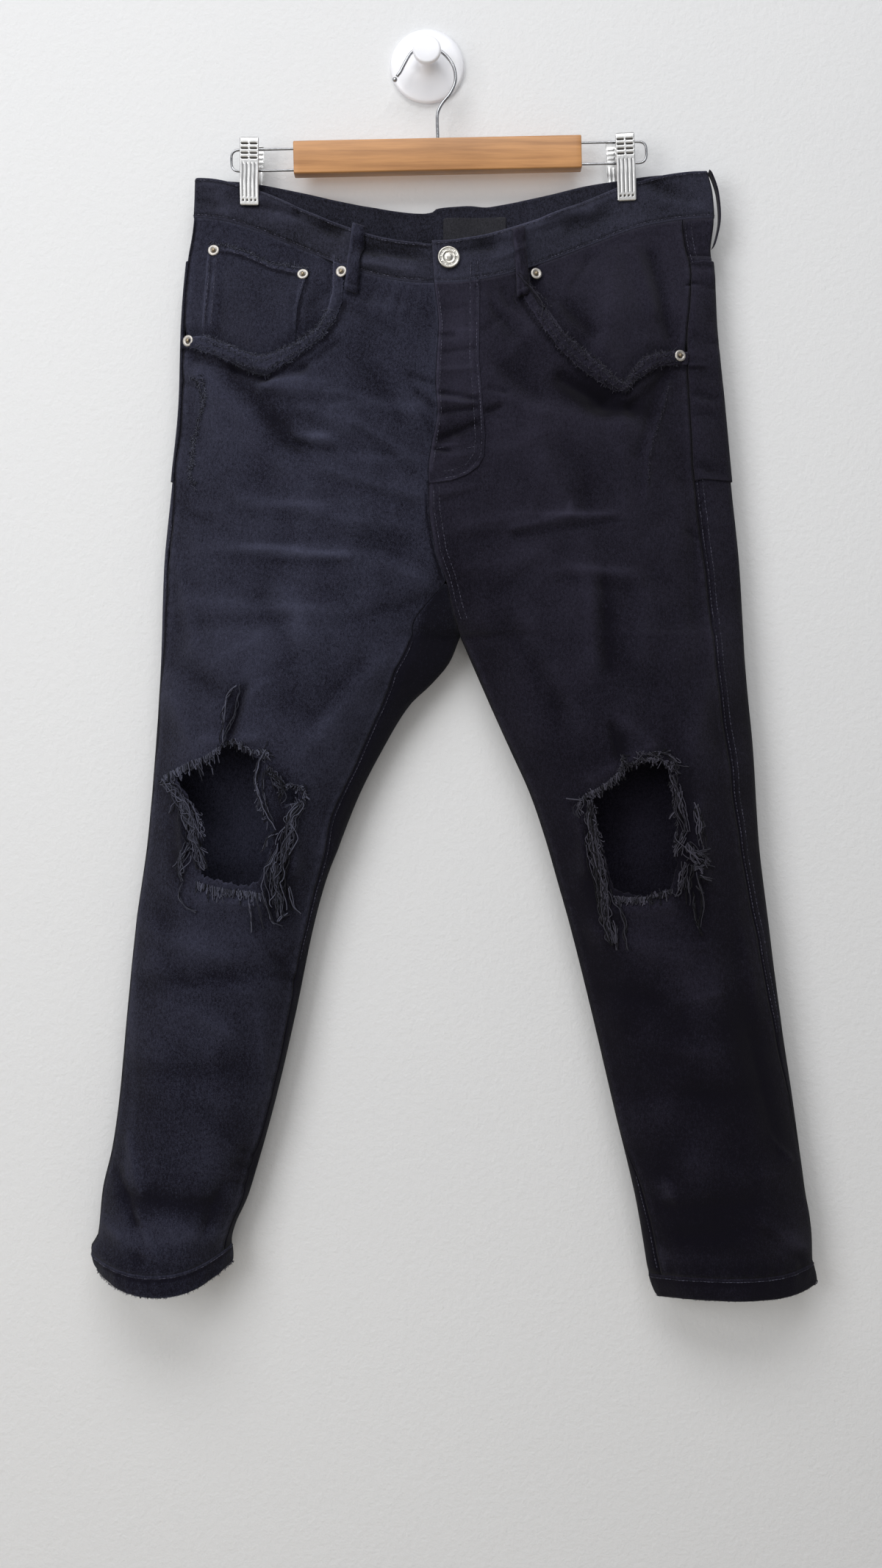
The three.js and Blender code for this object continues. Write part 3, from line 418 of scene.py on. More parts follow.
# Waistband: a buckle either side of the button and near each clip
BAND_CREASES = [
    (-150, 132, -100, 156, 7, 1.4), (-118, 146, -80, 170, 6, -1.3), (-60, 182, -10, 196, 7, -1.2),
    (-56, 198, -14, 210, 5, 1.1), (30, 190, 60, 184, 4, -1.3), (66, 176, 100, 164, 8, 1.3),
    (110, 150, 150, 144, 7, 1.4), (130, 162, 165, 146, 5, -1.1), (-190, 130, -184, 146, 6, 0.9),
    (212, 122, 240, 134, 7, -0.9), (-166, 136, -120, 148, 3, -1.0), (-120, 148, -88, 166, 3, -0.9),
    (-108, 138, -76, 160, 3, 0.7), (-56, 186, -20, 196, 3, -0.9), (-40, 194, -10, 202, 3, 0.8),
    (-54, 204, -24, 212, 3, -0.6), (48, 184, 72, 178, 3, -0.9), (60, 196, 84, 186, 3, 0.7),
    (96, 168, 140, 152, 3, -0.9), (150, 138, 176, 128, 3, 0.8), (196, 116, 232, 124, 3, -0.8),
    (216, 134, 250, 140, 3, 0.7), (-206, 120, -178, 124, 3, 0.7), (-208, 134, -184, 140, 3, -0.6),
]
# Similar soft creases behind
BACK_CREASES = [
    (-190, 300, -90, 330, 16, 1.6), (-60, 300, 0, 360, 14, 1.4), (90, 320, 190, 300, 16, 1.5),
    (20, 430, 110, 470, 13, -1.6), (-20, 440, -120, 480, 13, -1.6), (-200, 470, -100, 500, 15, 1.5),
    (120, 500, 230, 480, 15, 1.5), (40, 520, 130, 560, 12, 1.4), (10, 520, -80, 560, 12, 1.4),
    (-240, 680, -140, 660, 12, -1.6), (-235, 710, -130, 700, 12, 1.5),
    (-245, 740, -140, 742, 11, -1.4), (140, 660, 270, 680, 12, -1.6),
    (150, 704, 275, 706, 12, 1.5), (160, 740, 285, 738, 11, -1.4),
    (-260, 850, -160, 880, 15, 1.4), (190, 860, 300, 840, 15, 1.4), (-275, 980, -180, 960, 14, 1.3),
    (200, 980, 320, 1000, 14, 1.3), (-290, 1050, -200, 1064, 10, -1.3),
    (230, 1060, 330, 1050, 10, -1.3),
]
BAND_GAIN, FOLD_GAIN = 1.5, 2.1         # how much deeper the creases are than listed
FRONT_CREASES = CREASES + [(*ends, width, BAND_GAIN * depth)
                           for *ends, width, depth in BAND_CREASES]
RIPPLE_HEIGHT = 0.004                   # share of a ripple's length
RIPPLE_RNG = np.random.default_rng(3)
RIPPLES = [(RIPPLE_RNG.uniform(0, math.pi), RIPPLE_RNG.uniform(18, 90), RIPPLE_RNG.uniform(0, 6.28),
            RIPPLE_RNG.uniform(0.6, 1.0)) for _ in range(18)]


def relief(face, x, down):
    """Height of the creases and rumples over the smooth form, in millimetres."""
    height = np.zeros(np.shape(x))
    creases = FRONT_CREASES if face == "front" else BACK_CREASES
    for x0, d0, x1, d1, width, depth in creases:
        reach = segments_distance(x, down, [(x0, d0), (x1, d1)])
        height += FOLD_GAIN * depth * np.exp(-(reach / width) ** 1.5)
    for angle, length, phase, amount in RIPPLES:
        wave = 2 * math.pi / length * (x * math.cos(angle) + down * math.sin(angle)) + phase
        height += RIPPLE_HEIGHT * length * amount * np.sin(wave + 1.2 * np.sin(wave * 0.37))
    for side in ("left", "right"):
        if face == "front":
            edge = segments_distance(x, down, SCOOP[side]["band"])
            pucker = np.sin(2 * math.pi * (x + 0.6 * down) / 11)
            height += 0.35 * pucker * bell(edge, 6)
    above_hem = HEM_TOP + 4 - down
    height += 0.45 * np.sin(2 * math.pi * x / 13 + 0.1 * down) * bell(above_hem, 9)
    return height


# ------------------------------------------------------------------ wear and painted shade and light, as a tone from 0 to 1
# (x, down, half width, half height, amount) soft patches of wear and of painted shade and light, by
# face
WEAR_AND_SHADE_PATCHES = {
    "front": [
        # worn whiskers and knees
        (-148, 457, 46, 3.4, 0.26), (-98, 463, 36, 3.4, 0.30), (-124, 461, 20, 5, 0.10),
        (-110, 436, 80, 60, 0.05), (-130, 418, 60, 4, 0.12), (-120, 512, 50, 5, 0.12),
        (-146, 545, 34, 30, 0.14), (-116, 520, 7, 26, 0.10), (-160, 612, 36, 22, 0.06),
        (-120, 590, 46, 44, 0.02), (-98, 358, 12, 5, 0.26), (-100, 330, 50, 4, 0.12),
        (-44, 378, 30, 4, 0.12), (-106, 308, 30, 3.4, 0.16), (-40, 330, 36, 5, 0.05),
        (128, 420, 3, 5, 0.30), (128, 427, 40, 2.6, 0.30), (60, 352, 12, 9, 0.10),
        (150, 477, 34, 4, 0.20), (126, 560, 44, 54, 0.05), (180, 620, 32, 16, 0.12),
        (120, 440, 60, 50, 0.05), (150, 520, 12, 34, 0.06), (205, 800, 30, 30, 0.12),
        (-178, 812, 46, 34, 0.10), (-200, 890, 50, 60, 0.05), (-214, 1000, 34, 30, 0.08),
        (-238, 1074, 52, 9, 0.16), (238, 850, 34, 26, 0.16), (208, 960, 24, 34, 0.10),
        (256, 980, 40, 40, 0.05), (216, 1036, 8, 10, 0.22), (328, 1084, 22, 12, 0.24),
        (212, 1098, 9, 9, 0.16), (250, 1096, 60, 6, 0.08), (-268, 900, 5, 150, 0.10),
        # pockets, fly, loops
        (-150, 235, 30, 32, -0.06), (28, 250, 16, 60, 0.22), (28, 300, 16, 60, 0.08),
        (30, 322, 12, 10, 0.12), (166, 240, 12, 36, 0.10), (140, 250, 40, 40, -0.06),
        (-40, 200, 30, 10, 0.08), (-130, 150, 26, 8, 0.16), (100, 158, 30, 7, 0.16),
        (-180, 140, 20, 6, 0.06), (200, 128, 22, 5, 0.08), (-80, 172, 20, 6, 0.08),
        # painted shade in the hollows and beside the folds
        (-60, 262, 20, 60, -0.06), (142, 318, 22, 10, -0.30), (176, 332, 22, 8, -0.20),
        (20, 354, 14, 7, -0.16), (-140, 350, 14, 22, -0.10), (20, 480, 26, 30, -0.14),
        (-236, 700, 14, 60, -0.06), (290, 640, 24, 220, -0.05), (196, 330, 16, 40, -0.06),
        (160, 524, 9, 40, -0.10), (180, 880, 14, 26, -0.12), (284, 880, 20, 34, -0.10),
        (250, 1078, 40, 9, -0.06), (-236, 1042, 50, 12, -0.04), (-172, 980, 12, 20, -0.08),
        # cloth shaded under the tassels
        (-216, 700, 11, 34, -0.30), (-222, 742, 9, 16, -0.26), (-126, 712, 11, 30, -0.28),
        (-133, 765, 13, 28, -0.26), (-130, 668, 10, 12, -0.2), (-173, 606, 7, 24, -0.20),
        (150, 735, 9, 45, -0.30), (168, 795, 8, 22, -0.22), (230, 700, 9, 36, -0.26),
        (238, 750, 12, 34, -0.26), (172, 632, 6, 12, -0.3),
    ],
    "back": [
        # painted light on the back panel behind the knee holes, where its inside shows in shade; the
        # rest are worn patches
        (-176, 706, 34, 76, 0.37), (194, 706, 34, 76, 0.40),
        (-120, 330, 60, 70, 0.20), (140, 330, 60, 70, 0.18), (-130, 560, 60, 80, 0.14),
        (160, 560, 60, 80, 0.14), (-180, 700, 60, 40, 0.10), (210, 700, 60, 40, 0.10),
        (-220, 980, 50, 80, 0.12), (260, 980, 50, 80, 0.12),
    ],
}


def scoop_lines(side):
    """Worn edges of the pocket band, and the shade below it."""
    under = -1 if side == "left" else 1
    shaded = [(x - 1.6 * under * (abs(x) < 110), down + 2.4) for x, down in SCOOP[side]["band"][1:]]
    return [(shaded, 2.2, -0.30), (SCOOP[side]["edge"], 1.1, 0.34), (SCOOP[side]["band"], 1.1, 0.2)]


# Worn lines along edges and seams of the front, and painted shadow lines in grooves and beside raised
# edges where the amount is negative: chain, half width, amount
WORN_AND_SHADOW_LINES = [
    *scoop_lines("left"), *scoop_lines("right"),
    ([(8, 222), (12, 258), (9.5, 310), (11, 336), (6, 368), (4, 389)], 1.3, 0.40),
    ([(4, 400), (3.5, 424), (9, 461), (17, 483), (20, 492)], 1.1, 0.30),
    ([(1, 400), (0, 424), (5.5, 461), (13, 483)], 1.3, -0.30),
    ([(46, 222), (45.5, 290), (50, 345)], 1.2, 0.20), ([(40, 222), (39.5, 290), (44, 340)], 1.2, 0.16),
    ([(7, 399), (22, 397), (36, 391), (46, 383)], 1.6, 0.24), ([(7, 368), (28, 366)], 1.5, 0.2),
    ([(-200, 186), (-204, 252)], 0.9, 0.26), ([(-194, 190), (-198, 250)], 0.9, 0.22),
    ([(-197, 188), (-201, 250)], 0.9, -0.18), ([(-112, 204), (-119, 239), (-119, 258)], 1.0, 0.22),
    ([(-108, 204), (-115, 239), (-116, 258)], 1.3, -0.30), ([(-100, 214), (-106, 250)], 7, -0.10),
    ([(-192, 183), (-170, 188), (-143, 200), (-118, 206)], 1.6, -0.26),
    ([(-192, 179), (-170, 184), (-143, 196), (-116, 202)], 1.0, 0.24),
    ([(238, 199), (262, 199)], 1.3, 0.24), ([(236, 213), (264, 214)], 1.1, -0.30),
    ([(236, 216), (264, 217)], 1.1, 0.20), ([(240, 195), (262, 195)], 1.3, -0.2),
    ([(14, 324), (44, 320)], 2.0, 0.16), ([(14, 264), (44, 262)], 2.0, 0.14),
]

SEAM_ROWS = np.linspace(WAIST_SEAM, HEM_TOP, 240)
SEAM_X = {(side, name): surface(side, line(side, SEAM_ROWS), SEAM_ROWS)[..., 0]
          for side in ("left", "right") for name, line in (("out", outseam), ("in", inseam))}


def seam_wear(side, x, row):
    """Dark groove of the side seams on the front, with a worn ridge and puckers beside it."""
    shade = np.zeros(np.shape(x))
    for name, groove, ridge in (("out", 0.34, 0.14), ("in", 0.26, 0.16)):
        away = x - np.interp(row, SEAM_ROWS, SEAM_X[side, name])
        inward = away if (side == "left") == (name == "out") else -away
        on = smooth((row - (CROTCH if name == "in" else WAIST_SEAM)) / 8)
        pucker = 0.5 + 0.5 * np.sin(row * 0.55 + 2 * np.sin(row * 0.071))
        line = -groove * bell(away, 1.3)
        line = line + ridge * bell(inward + 3.0, 1.8)
        line = line + ridge * (0.4 + 0.6 * pucker) * bell(inward - 3.4, 2.2)
        shade += on * line
    return shade


# Painted shade: the cloth is darker towards the hems, and the wearer's left leg more so
HEM_SHADE, HEM_SHADE_FROM, HEM_SHADE_REACH = -0.12, 520, 560
LEG_SHADE, LEG_SHADE_FROM, LEG_SHADE_REACH = -0.11, 420, 240
RIDGE_SHADE = 0.05                      # lighter on ridges as wear and darker in troughs as painted shade, per millimetre of a crease's height


def wear_and_shade_at(face, x, down):
    """Tone of the cloth on one face: painted shade towards the hems, soft patches of wear and of
    painted shade and light, worn lines and painted shadow lines.
    """
    shade = HEM_SHADE * smooth((down - HEM_SHADE_FROM) / HEM_SHADE_REACH)
    for x0, d0, rx, rd, amount in WEAR_AND_SHADE_PATCHES[face]:
        shade += amount * np.exp(-((x - x0) / rx) ** 2 - ((down - d0) / rd) ** 2)
    if face == "front":
        for chain, width, amount in WORN_AND_SHADOW_LINES:
            shade += amount * bell(segments_distance(x, down, chain), width)
    return shade


# ------------------------------------------------------------------ meshes
def link(name, vertices, faces, material):
    """A smooth-shaded object in the scene from vertices in millimetres."""
    mesh = bpy.data.meshes.new(name)
    mesh.from_pydata((np.asarray(vertices) * MM).tolist(), [], faces)
    mesh.materials.append(material)
    mesh.polygons.foreach_set("use_smooth", [True] * len(mesh.polygons))
    mesh.update()
    obj = bpy.data.objects.new(name, mesh)
    bpy.context.scene.collection.objects.link(obj)
    return obj


def add_values(obj, name, values):
    layer = obj.data.attributes.new(name, "FLOAT", "POINT")
    layer.data.foreach_set("value", np.asarray(values, np.float32))


def clipped(grid, keep):
    """Cuts a grid of vertex rows where a field falls below zero.

    grid: dict of arrays shaped (rows, columns, ...). Returns flat arrays and polygons."""
    rows, columns = keep.shape
    flat = {name: list(values.reshape(rows * columns, -1)) for name, values in grid.items()}
    value = keep.ravel()
    made, faces = {}, []

    def crossing(a, b):
        key = (min(a, b), max(a, b))
        if key not in made:
            k = value[a] / (value[a] - value[b])
            made[key] = len(next(iter(flat.values())))
            for values in flat.values():
                values.append(values[a] + (values[b] - values[a]) * k)
        return made[key]

    for i in range(rows - 1):
        for j in range(columns - 1):
            corners = (i * columns + j, i * columns + j + 1, (i + 1) * columns + j + 1,
                       (i + 1) * columns + j)
            signs = [value[c] >= 0 for c in corners]
            if all(signs):
                faces.append(corners)
            elif any(signs):
                polygon = []
                for n, a in enumerate(corners):
                    b = corners[(n + 1) % 4]
                    if signs[n]:
                        polygon.append(a)
                    if signs[n] != signs[(n + 1) % 4]:
                        polygon.append(crossing(a, b))
                faces.append(tuple(polygon))
    used = sorted({v for face in faces for v in face})
    place = {v: n for n, v in enumerate(used)}
    arrays = {name: np.array([values[v] for v in used]) for name, values in flat.items()}
    return arrays, [tuple(place[v] for v in face) for face in faces]


def weld(arrays, faces):
    """Joins vertices at the same place and drops faces that collapse."""
    keys = [tuple(v) for v in np.round(arrays["outer"] * 20).astype(int)]
    first, target = {}, []
    for n, key in enumerate(keys):
        target.append(first.setdefault(key, n))
    kept = []
    for face in faces:
        ring = [target[v] for v in face]
        ring = [v for n, v in enumerate(ring) if v != ring[n - 1]]
        if len(set(ring)) >= 3:
            kept.append(tuple(ring))
    used = sorted({v for face in kept for v in face})
    place = {v: n for n, v in enumerate(used)}
    return {k: a[used] for k, a in arrays.items()}, [tuple(place[v] for v in f) for f in kept]


def thicken(arrays, faces):
    """Closes a one-sided surface with its inner copy and walls along its open edges."""
    outer, inner = arrays["outer"], arrays["inner"]
    corner = np.array([f[:3] for f in faces])
    a, b, c = (outer[corner[:, i]] for i in range(3))
    facing = np.einsum("ij,ij->i", np.cross(b - a, c - a), (outer - inner)[corner[:, 0]])
    if np.sum(facing) < 0:
        faces = [tuple(reversed(f)) for f in faces]
    n = len(outer)
    open_edges = {}
    for face in faces:
        for i, v in enumerate(face):
            edge = (face[i - 1], v)
            if open_edges.pop((edge[1], edge[0]), None) is None:
                open_edges[edge] = True
    walls = [(q, p, p + n, q + n) for p, q in open_edges]
    everything = faces + [tuple(v + n for v in reversed(f)) for f in faces] + walls
    on_edge = np.zeros(n)
    for p, q in open_edges:
        on_edge[[p, q]] = 1
    return np.concatenate([outer, inner]), everything, on_edge, faces


def stand_in(obj, slot, *nodes):
    """Ties a piece to the rigid body and hides the solids it stands for; slot is not used."""
    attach(obj, "root")
    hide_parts(*nodes)
    return obj


SHEETS = []


def shell(name, patches, material, nodes, slot, rests_on=("clip_left_front", "clip_right_front"),
          edge_wear=0.12):
    """A closed piece of cloth from (grid, keep) patches whose grids hold outer, inner, wear, uv."""
    arrays, faces = None, []
    for grid, keep in patches:
        part, part_faces = clipped(grid, keep)
        start = 0 if arrays is None else len(arrays["outer"])
        arrays = part if arrays is None else {k: np.concatenate([arrays[k], part[k]]) for k in part}
        faces += [tuple(v + start for v in face) for face in part_faces]
    arrays, faces = weld(arrays, faces)
    vertices, everything, on_edge, faces = thicken(arrays, faces)
    obj = link(name, vertices, everything, material)
    wear = arrays["wear"][:, 0]
    # wear holds worn fades together with painted shade and painted light
    add_values(obj, "wear", np.concatenate([wear + edge_wear * on_edge, wear * 0.3 - 0.05]))
    add_values(obj, "along", np.tile(arrays["uv"][:, 1], 2))
    add_values(obj, "across", np.tile(arrays["uv"][:, 0], 2))
    outer = arrays["outer"]
    area = sum(polygon_area(outer[list(f)]) for f in faces) * MM * MM
    span = (arrays["uv"].max(0) - arrays["uv"].min(0)) * MM
    stand_in(obj, slot, *nodes)
    SHEETS.append({"obj": obj, "area": area, "span": span, "rests_on": list(rests_on), "with": []})
    return SHEETS[-1]


LEAST_SIDE = 0.0101         # metres, just over the least side of a sheet
NARROW_SHARE, LEAST_SHARE = 0.4, 0.305


def declare_sheets():
    """Works out every sheet's flat width and length once they are all made; the sizes are not kept."""
    for item in SHEETS:
        width, length = (float(max(v, LEAST_SIDE)) for v in item["span"])
        area = item["area"]
        if area < NARROW_SHARE * width * length:    # a narrow strip that runs across its box
            length = max(width, length)
            width = max(area / length, LEAST_SIDE)
        if area > width * length:
            width = area / length


def polygon_area(points):
    first = points[0]
    cross = np.cross(points[1:-1] - first, points[2:] - first)
    return 0.5 * np.linalg.norm(cross, axis=-1).sum()


FOLD_FADE = 0.12                        # creases die away over this share beside a fold


def rumpled(side, q, row):
    """Points, normals, which are on the back, and the height of the creases over them."""
    points = surface(side, q, row)
    x, down = points[..., 0], -points[..., 2]
    behind = (q < 0) & (q >= -1)
    off_fold = np.minimum(np.abs(q), np.abs(np.abs(q) - 1) + (row < CROTCH)) / FOLD_FADE
    height = np.where(behind, relief("back", x, down), relief("front", x, down))
    return points, normal(side, q, row), behind, height * smooth(off_fold)


def cloth_grid(side, q, row, out=0.0, thick=CLOTH, extra_wear=0.0, lift=None):
    """Grid arrays over q and row of one half, raised by out over the rumpled surface."""
    points, normals, behind, height = rumpled(side, q, row)
    x, down = points[..., 0], -points[..., 2]
    height = height + (0 if lift is None else lift(x, down))
    shade = np.where(behind, wear_and_shade_at("back", x, down), wear_and_shade_at("front", x, down)) + extra_wear
    shade = shade + np.where(behind, 0, seam_wear(side, x, row)) * (np.ndim(out) == 0)
    # crease ridges worn lighter, crease troughs painted darker as shade
    shade = shade + RIDGE_SHADE * np.clip(height, -3, 2.5)
    # painted shade: the wearer's left leg darker towards its hem
    if side == "right":
        shade = shade + LEG_SHADE * smooth((row - LEG_SHADE_FROM) / LEG_SHADE_REACH)
    out = np.broadcast_to(out, q.shape)
    thick = np.broadcast_to(thick, q.shape)
    raised = (height + out)[..., None]
    steps = np.linalg.norm(np.diff(points, axis=1), axis=-1)
    around = np.concatenate([np.zeros((q.shape[0], 1)), np.cumsum(steps, axis=1)], axis=1)
    return {
        "outer": points + normals * raised,
        "inner": points + normals * (raised - thick[..., None]),
        "wear": shade[..., None],
        "uv": np.stack([around, down], -1),
    }, x, down


# ------------------------------------------------------------------ materials
def node_tree(name):
    material = bpy.data.materials.new(name)
    material.use_nodes = True
    nodes = material.node_tree.nodes
    return material, nodes, material.node_tree.links, nodes["Principled BSDF"]


def srgb(*values):
    return tuple((v / 255 / 12.92) if v <= 10 else ((v / 255 + 0.055) / 1.055) ** 2.4
                 for v in values) + (1,)


def math_node(nodes, links, operation, a, b=None, c=None):
    node = nodes.new("ShaderNodeMath")
    node.operation = operation
    for n, value in enumerate((a, b, c)):
        if value is None:
            continue
        if isinstance(value, (int, float)):
            node.inputs[n].default_value = value
        else:
            links.new(value, node.inputs[n])
    return node.outputs[0]


def mapped_noise(nodes, links, scale, stretch=(1, 1, 1), detail=2.0, rough=0.5):
    place = nodes.new("ShaderNodeTexCoord")
    mapping = nodes.new("ShaderNodeMapping")
    mapping.inputs["Scale"].default_value = stretch
    noise = nodes.new("ShaderNodeTexNoise")
    noise.inputs["Scale"].default_value = scale
    noise.inputs["Detail"].default_value = detail
    noise.inputs["Roughness"].default_value = rough
    links.new(place.outputs["Object"], mapping.inputs[0])
    links.new(mapping.outputs[0], noise.inputs["Vector"])
    return noise.outputs["Fac"]


def attribute(nodes, name):
    node = nodes.new("ShaderNodeAttribute")
    node.attribute_name = name
    return node.outputs["Fac"]


def clamp(nodes, links, value):
    node = nodes.new("ShaderNodeClamp")
    links.new(value, node.inputs[0])
    return node.outputs[0]


def layered(nodes, links, base, layers):
    """A value with amounts of other values added on."""
    for value, amount in layers:
        base = math_node(nodes, links, "MULTIPLY_ADD", value, amount, base)
    return base


def set_inputs(shader, **values):
    """Sets the shader's plain inputs, their names written with underscores."""
    for name, value in values.items():
        shader.inputs[name.replace("_", " ")].default_value = value


def mix_colour(nodes, links, fac, a, b):
    node = nodes.new("ShaderNodeMix")
    node.data_type = "RGBA"
    links.new(fac, node.inputs[0])
    for socket, value in ((node.inputs[6], a), (node.inputs[7], b)):
        if isinstance(value, tuple):
            socket.default_value = value
        else:
            links.new(value, socket)
    return node.outputs[2]


def bump(nodes, links, height, strength, distance, shader, under=None):
    """Bump on a shader, over the coarser bump under it."""
    node = nodes.new("ShaderNodeBump")
    node.inputs["Strength"].default_value = strength
    node.inputs["Distance"].default_value = distance
    links.new(height, node.inputs["Height"])
    if under is not None:
        links.new(under, node.inputs["Normal"])
    links.new(node.outputs[0], shader.inputs["Normal"])
    return node.outputs[0]


TWILL_ACROSS, TWILL_ALONG = 0.95, 1.9   # spacing of the diagonal ribs, in millimetres
DENIM_LEVEL = 0.668                     # what the mean of the noises is brought down by


def denim_material(name, dark, light, sheen=0.04):
    """Washed black twill: the wear attribute fades it and brings painted shade and light, slubs and
    flecks break it up.
    """
    material, nodes, links, shader = node_tree(name)
    cloud = mapped_noise(nodes, links, 14, detail=4, rough=0.55)
    mottle = mapped_noise(nodes, links, 110, detail=3, rough=0.5)
    grain = mapped_noise(nodes, links, 480, (1, 1, 0.6), detail=2, rough=0.6)
    slub = mapped_noise(nodes, links, 760, (1, 1, 0.5), detail=2, rough=0.6)
    fleck = mapped_noise(nodes, links, 1150, detail=2, rough=0.7)
    slant = math_node(nodes, links, "MULTIPLY", attribute(nodes, "across"),
                      2 * math.pi / TWILL_ACROSS)
    slant = math_node(nodes, links, "MULTIPLY_ADD", attribute(nodes, "along"),
                      2 * math.pi / TWILL_ALONG, slant)
    twill = math_node(nodes, links, "SINE", slant)
    shade = layered(nodes, links, attribute(nodes, "wear"), (
        (cloud, 0.16), (mottle, 0.08), (grain, 0.30), (slub, 0.44), (fleck, 0.78), (twill, 0.05)))
    shade = clamp(nodes, links, math_node(nodes, links, "SUBTRACT", shade, DENIM_LEVEL))
    links.new(mix_colour(nodes, links, shade, dark, light), shader.inputs["Base Color"])
    crumple = bump(nodes, links, mapped_noise(nodes, links, 26, detail=4, rough=0.5), 0.6, 0.0035,
                   shader)
    weave = math_node(nodes, links, "MULTIPLY_ADD", twill, 0.3, fleck)
    bump(nodes, links, math_node(nodes, links, "ADD", weave, slub), 0.5, 0.0005, shader, crumple)
    set_inputs(shader, Roughness=0.9, Specular_IOR_Level=0.09, Sheen_Weight=sheen, Sheen_Roughness=0.6)
    return material


def thread_material(name, dark, light):
    """Thread whose strands each have a tone of their own, the strand attribute."""
    material, nodes, links, shader = node_tree(name)
    ply = mapped_noise(nodes, links, 1600, (1, 1, 0.5), detail=1)
    tone = layered(nodes, links, attribute(nodes, "strand"), [(ply, 0.3)])
    tone = clamp(nodes, links, math_node(nodes, links, "SUBTRACT", tone, 0.15))
    links.new(mix_colour(nodes, links, tone, dark, light), shader.inputs["Base Color"])
    bump(nodes, links, ply, 0.4, 0.0002, shader)
    set_inputs(shader, Roughness=0.95, Specular_IOR_Level=0.1, Sheen_Weight=0.04)
    return material


def metal_material(name, dark, light, rough, brushed=(1, 1, 1), scale=300, shaded_pits=False):
    material, nodes, links, shader = node_tree(name)
    tone = mapped_noise(nodes, links, scale, brushed, detail=4, rough=0.65)
    colour = mix_colour(nodes, links, tone, dark, light)
    # painted shade in the pressed pits, from the pit attribute
    if shaded_pits:
        colour = mix_colour(nodes, links, attribute(nodes, "pit"), colour, srgb(34, 31, 30))
    links.new(colour, shader.inputs["Base Color"])
    uneven = math_node(nodes, links, "MULTIPLY_ADD", tone, 0.18, rough - 0.09)
    links.new(uneven, shader.inputs["Roughness"])
    bump(nodes, links, tone, 0.05, 0.0002, shader)
    set_inputs(shader, Metallic=1.0)
    return material


def wood_material():
    material, nodes, links, shader = node_tree("bar_wood")
    rings = mapped_noise(nodes, links, 16, (0.35, 6, 9), detail=6, rough=0.55)
    fibre = mapped_noise(nodes, links, 320, (0.05, 1, 1), detail=4, rough=0.7)
    patch = mapped_noise(nodes, links, 9, detail=2)
    tone = layered(nodes, links, rings, [(fibre, 0.45), (patch, 0.5)])
    tone = clamp(nodes, links, math_node(nodes, links, "MULTIPLY_ADD", tone, 1.7, -1.15))
    links.new(mix_colour(nodes, links, tone, srgb(144, 96, 50), srgb(209, 152, 94)),
              shader.inputs["Base Color"])
    bump(nodes, links, fibre, 0.15, 0.0003, shader)
    set_inputs(shader, Roughness=0.45, Coat_Weight=0.25, Coat_Roughness=0.3)
    return material


def plastic_material():
    material, nodes, links, shader = node_tree("hook_plastic")
    tone = mapped_noise(nodes, links, 60, detail=3)
    links.new(mix_colour(nodes, links, tone, srgb(232, 233, 239), srgb(241, 242, 246)),
              shader.inputs["Base Color"])
    bump(nodes, links, mapped_noise(nodes, links, 700, detail=1), 0.06, 0.0002, shader)
    set_inputs(shader, Roughness=0.28)
    return material


DENIM = {
    "left": denim_material("denim_right_leg", srgb(9, 8, 20), srgb(75, 77, 97)),
    "right": denim_material("denim_left_leg", srgb(6, 4, 15), srgb(57, 55, 71)),
    "band": denim_material("denim_waistband", srgb(9, 9, 16), srgb(75, 76, 95)),
}
SLOT = {"left": "denim_faded", "right": "denim_black"}
LABEL_CLOTH = denim_material("label_cloth", srgb(30, 30, 34), srgb(74, 74, 82), 0.06)
THREAD = {
    "left": thread_material("thread_faded", srgb(8, 8, 12), srgb(88, 90, 106)),
    "right": thread_material("thread_black", srgb(6, 6, 9), srgb(76, 75, 87)),
}
STITCH = thread_material("stitch_thread", srgb(36, 36, 45), srgb(86, 86, 102))
STUD = metal_material("stud_metal", srgb(150, 146, 136), srgb(226, 224, 218), 0.34)
DULL = metal_material("dull_metal", srgb(158, 152, 146), srgb(206, 203, 198), 0.5)
NUB = metal_material("nub_metal", srgb(96, 84, 66), srgb(176, 162, 138), 0.4)
WIRE_METAL = metal_material("wire_metal", srgb(118, 119, 122), srgb(196, 197, 200), 0.24)
CLIP_STEEL = metal_material("clip_steel", srgb(186, 186, 186), srgb(226, 226, 225), 0.36,
                            (1, 1, 0.08), 400, shaded_pits=True)

# ------------------------------------------------------------------ panels
JOINED = {}     # the sheets that threads and stitches are joined to


def rows_between(top, bottom, step):
    return np.linspace(top, bottom, max(2, int(round((bottom - top) / step)) + 1))


def even(count):
    return np.linspace(0, 1, count + 1)


def whole(made):
    """A patch that keeps all of a grid."""
    return made[0], np.ones(np.shape(made[1]))


def torn(side):
    """Field that takes out the knee hole with a ragged edge, and the pocket opening."""
    hole, scoop, small = (inside_by(o) for o in (KNEE_HOLE[side], scoop_opening(side), SMALL_HOLE))

    def field(x, down):
        ragged = 1.1 * np.sin(x * 1.3 + 0.7 * down) + 0.9 * np.sin(1.9 * down - x * 0.6)
        keep = np.minimum(-hole(x, down) + ragged, -scoop(x, down))
        return np.minimum(keep, -small(x, down) + 0.5 * ragged) if side == "left" else keep
    return field


def spread(rows, columns):
    return rows[:, None] + np.zeros(np.shape(columns)[-1])


def front_grid(side, rows, columns, **options):
    """Cloth of the front panel from the outseam to the centre or the inseam."""
    start = np.maximum(0, stepped(side, outseam(side, rows), rows, GAP))[:, None]
    end = inseam(side, rows)
    end = np.where(end < 1, stepped(side, end, rows, -GAP), 1.0)[:, None]
    q = mix(start, end, columns[None, :])
    return cloth_grid(side, q, spread(rows, columns), **options)


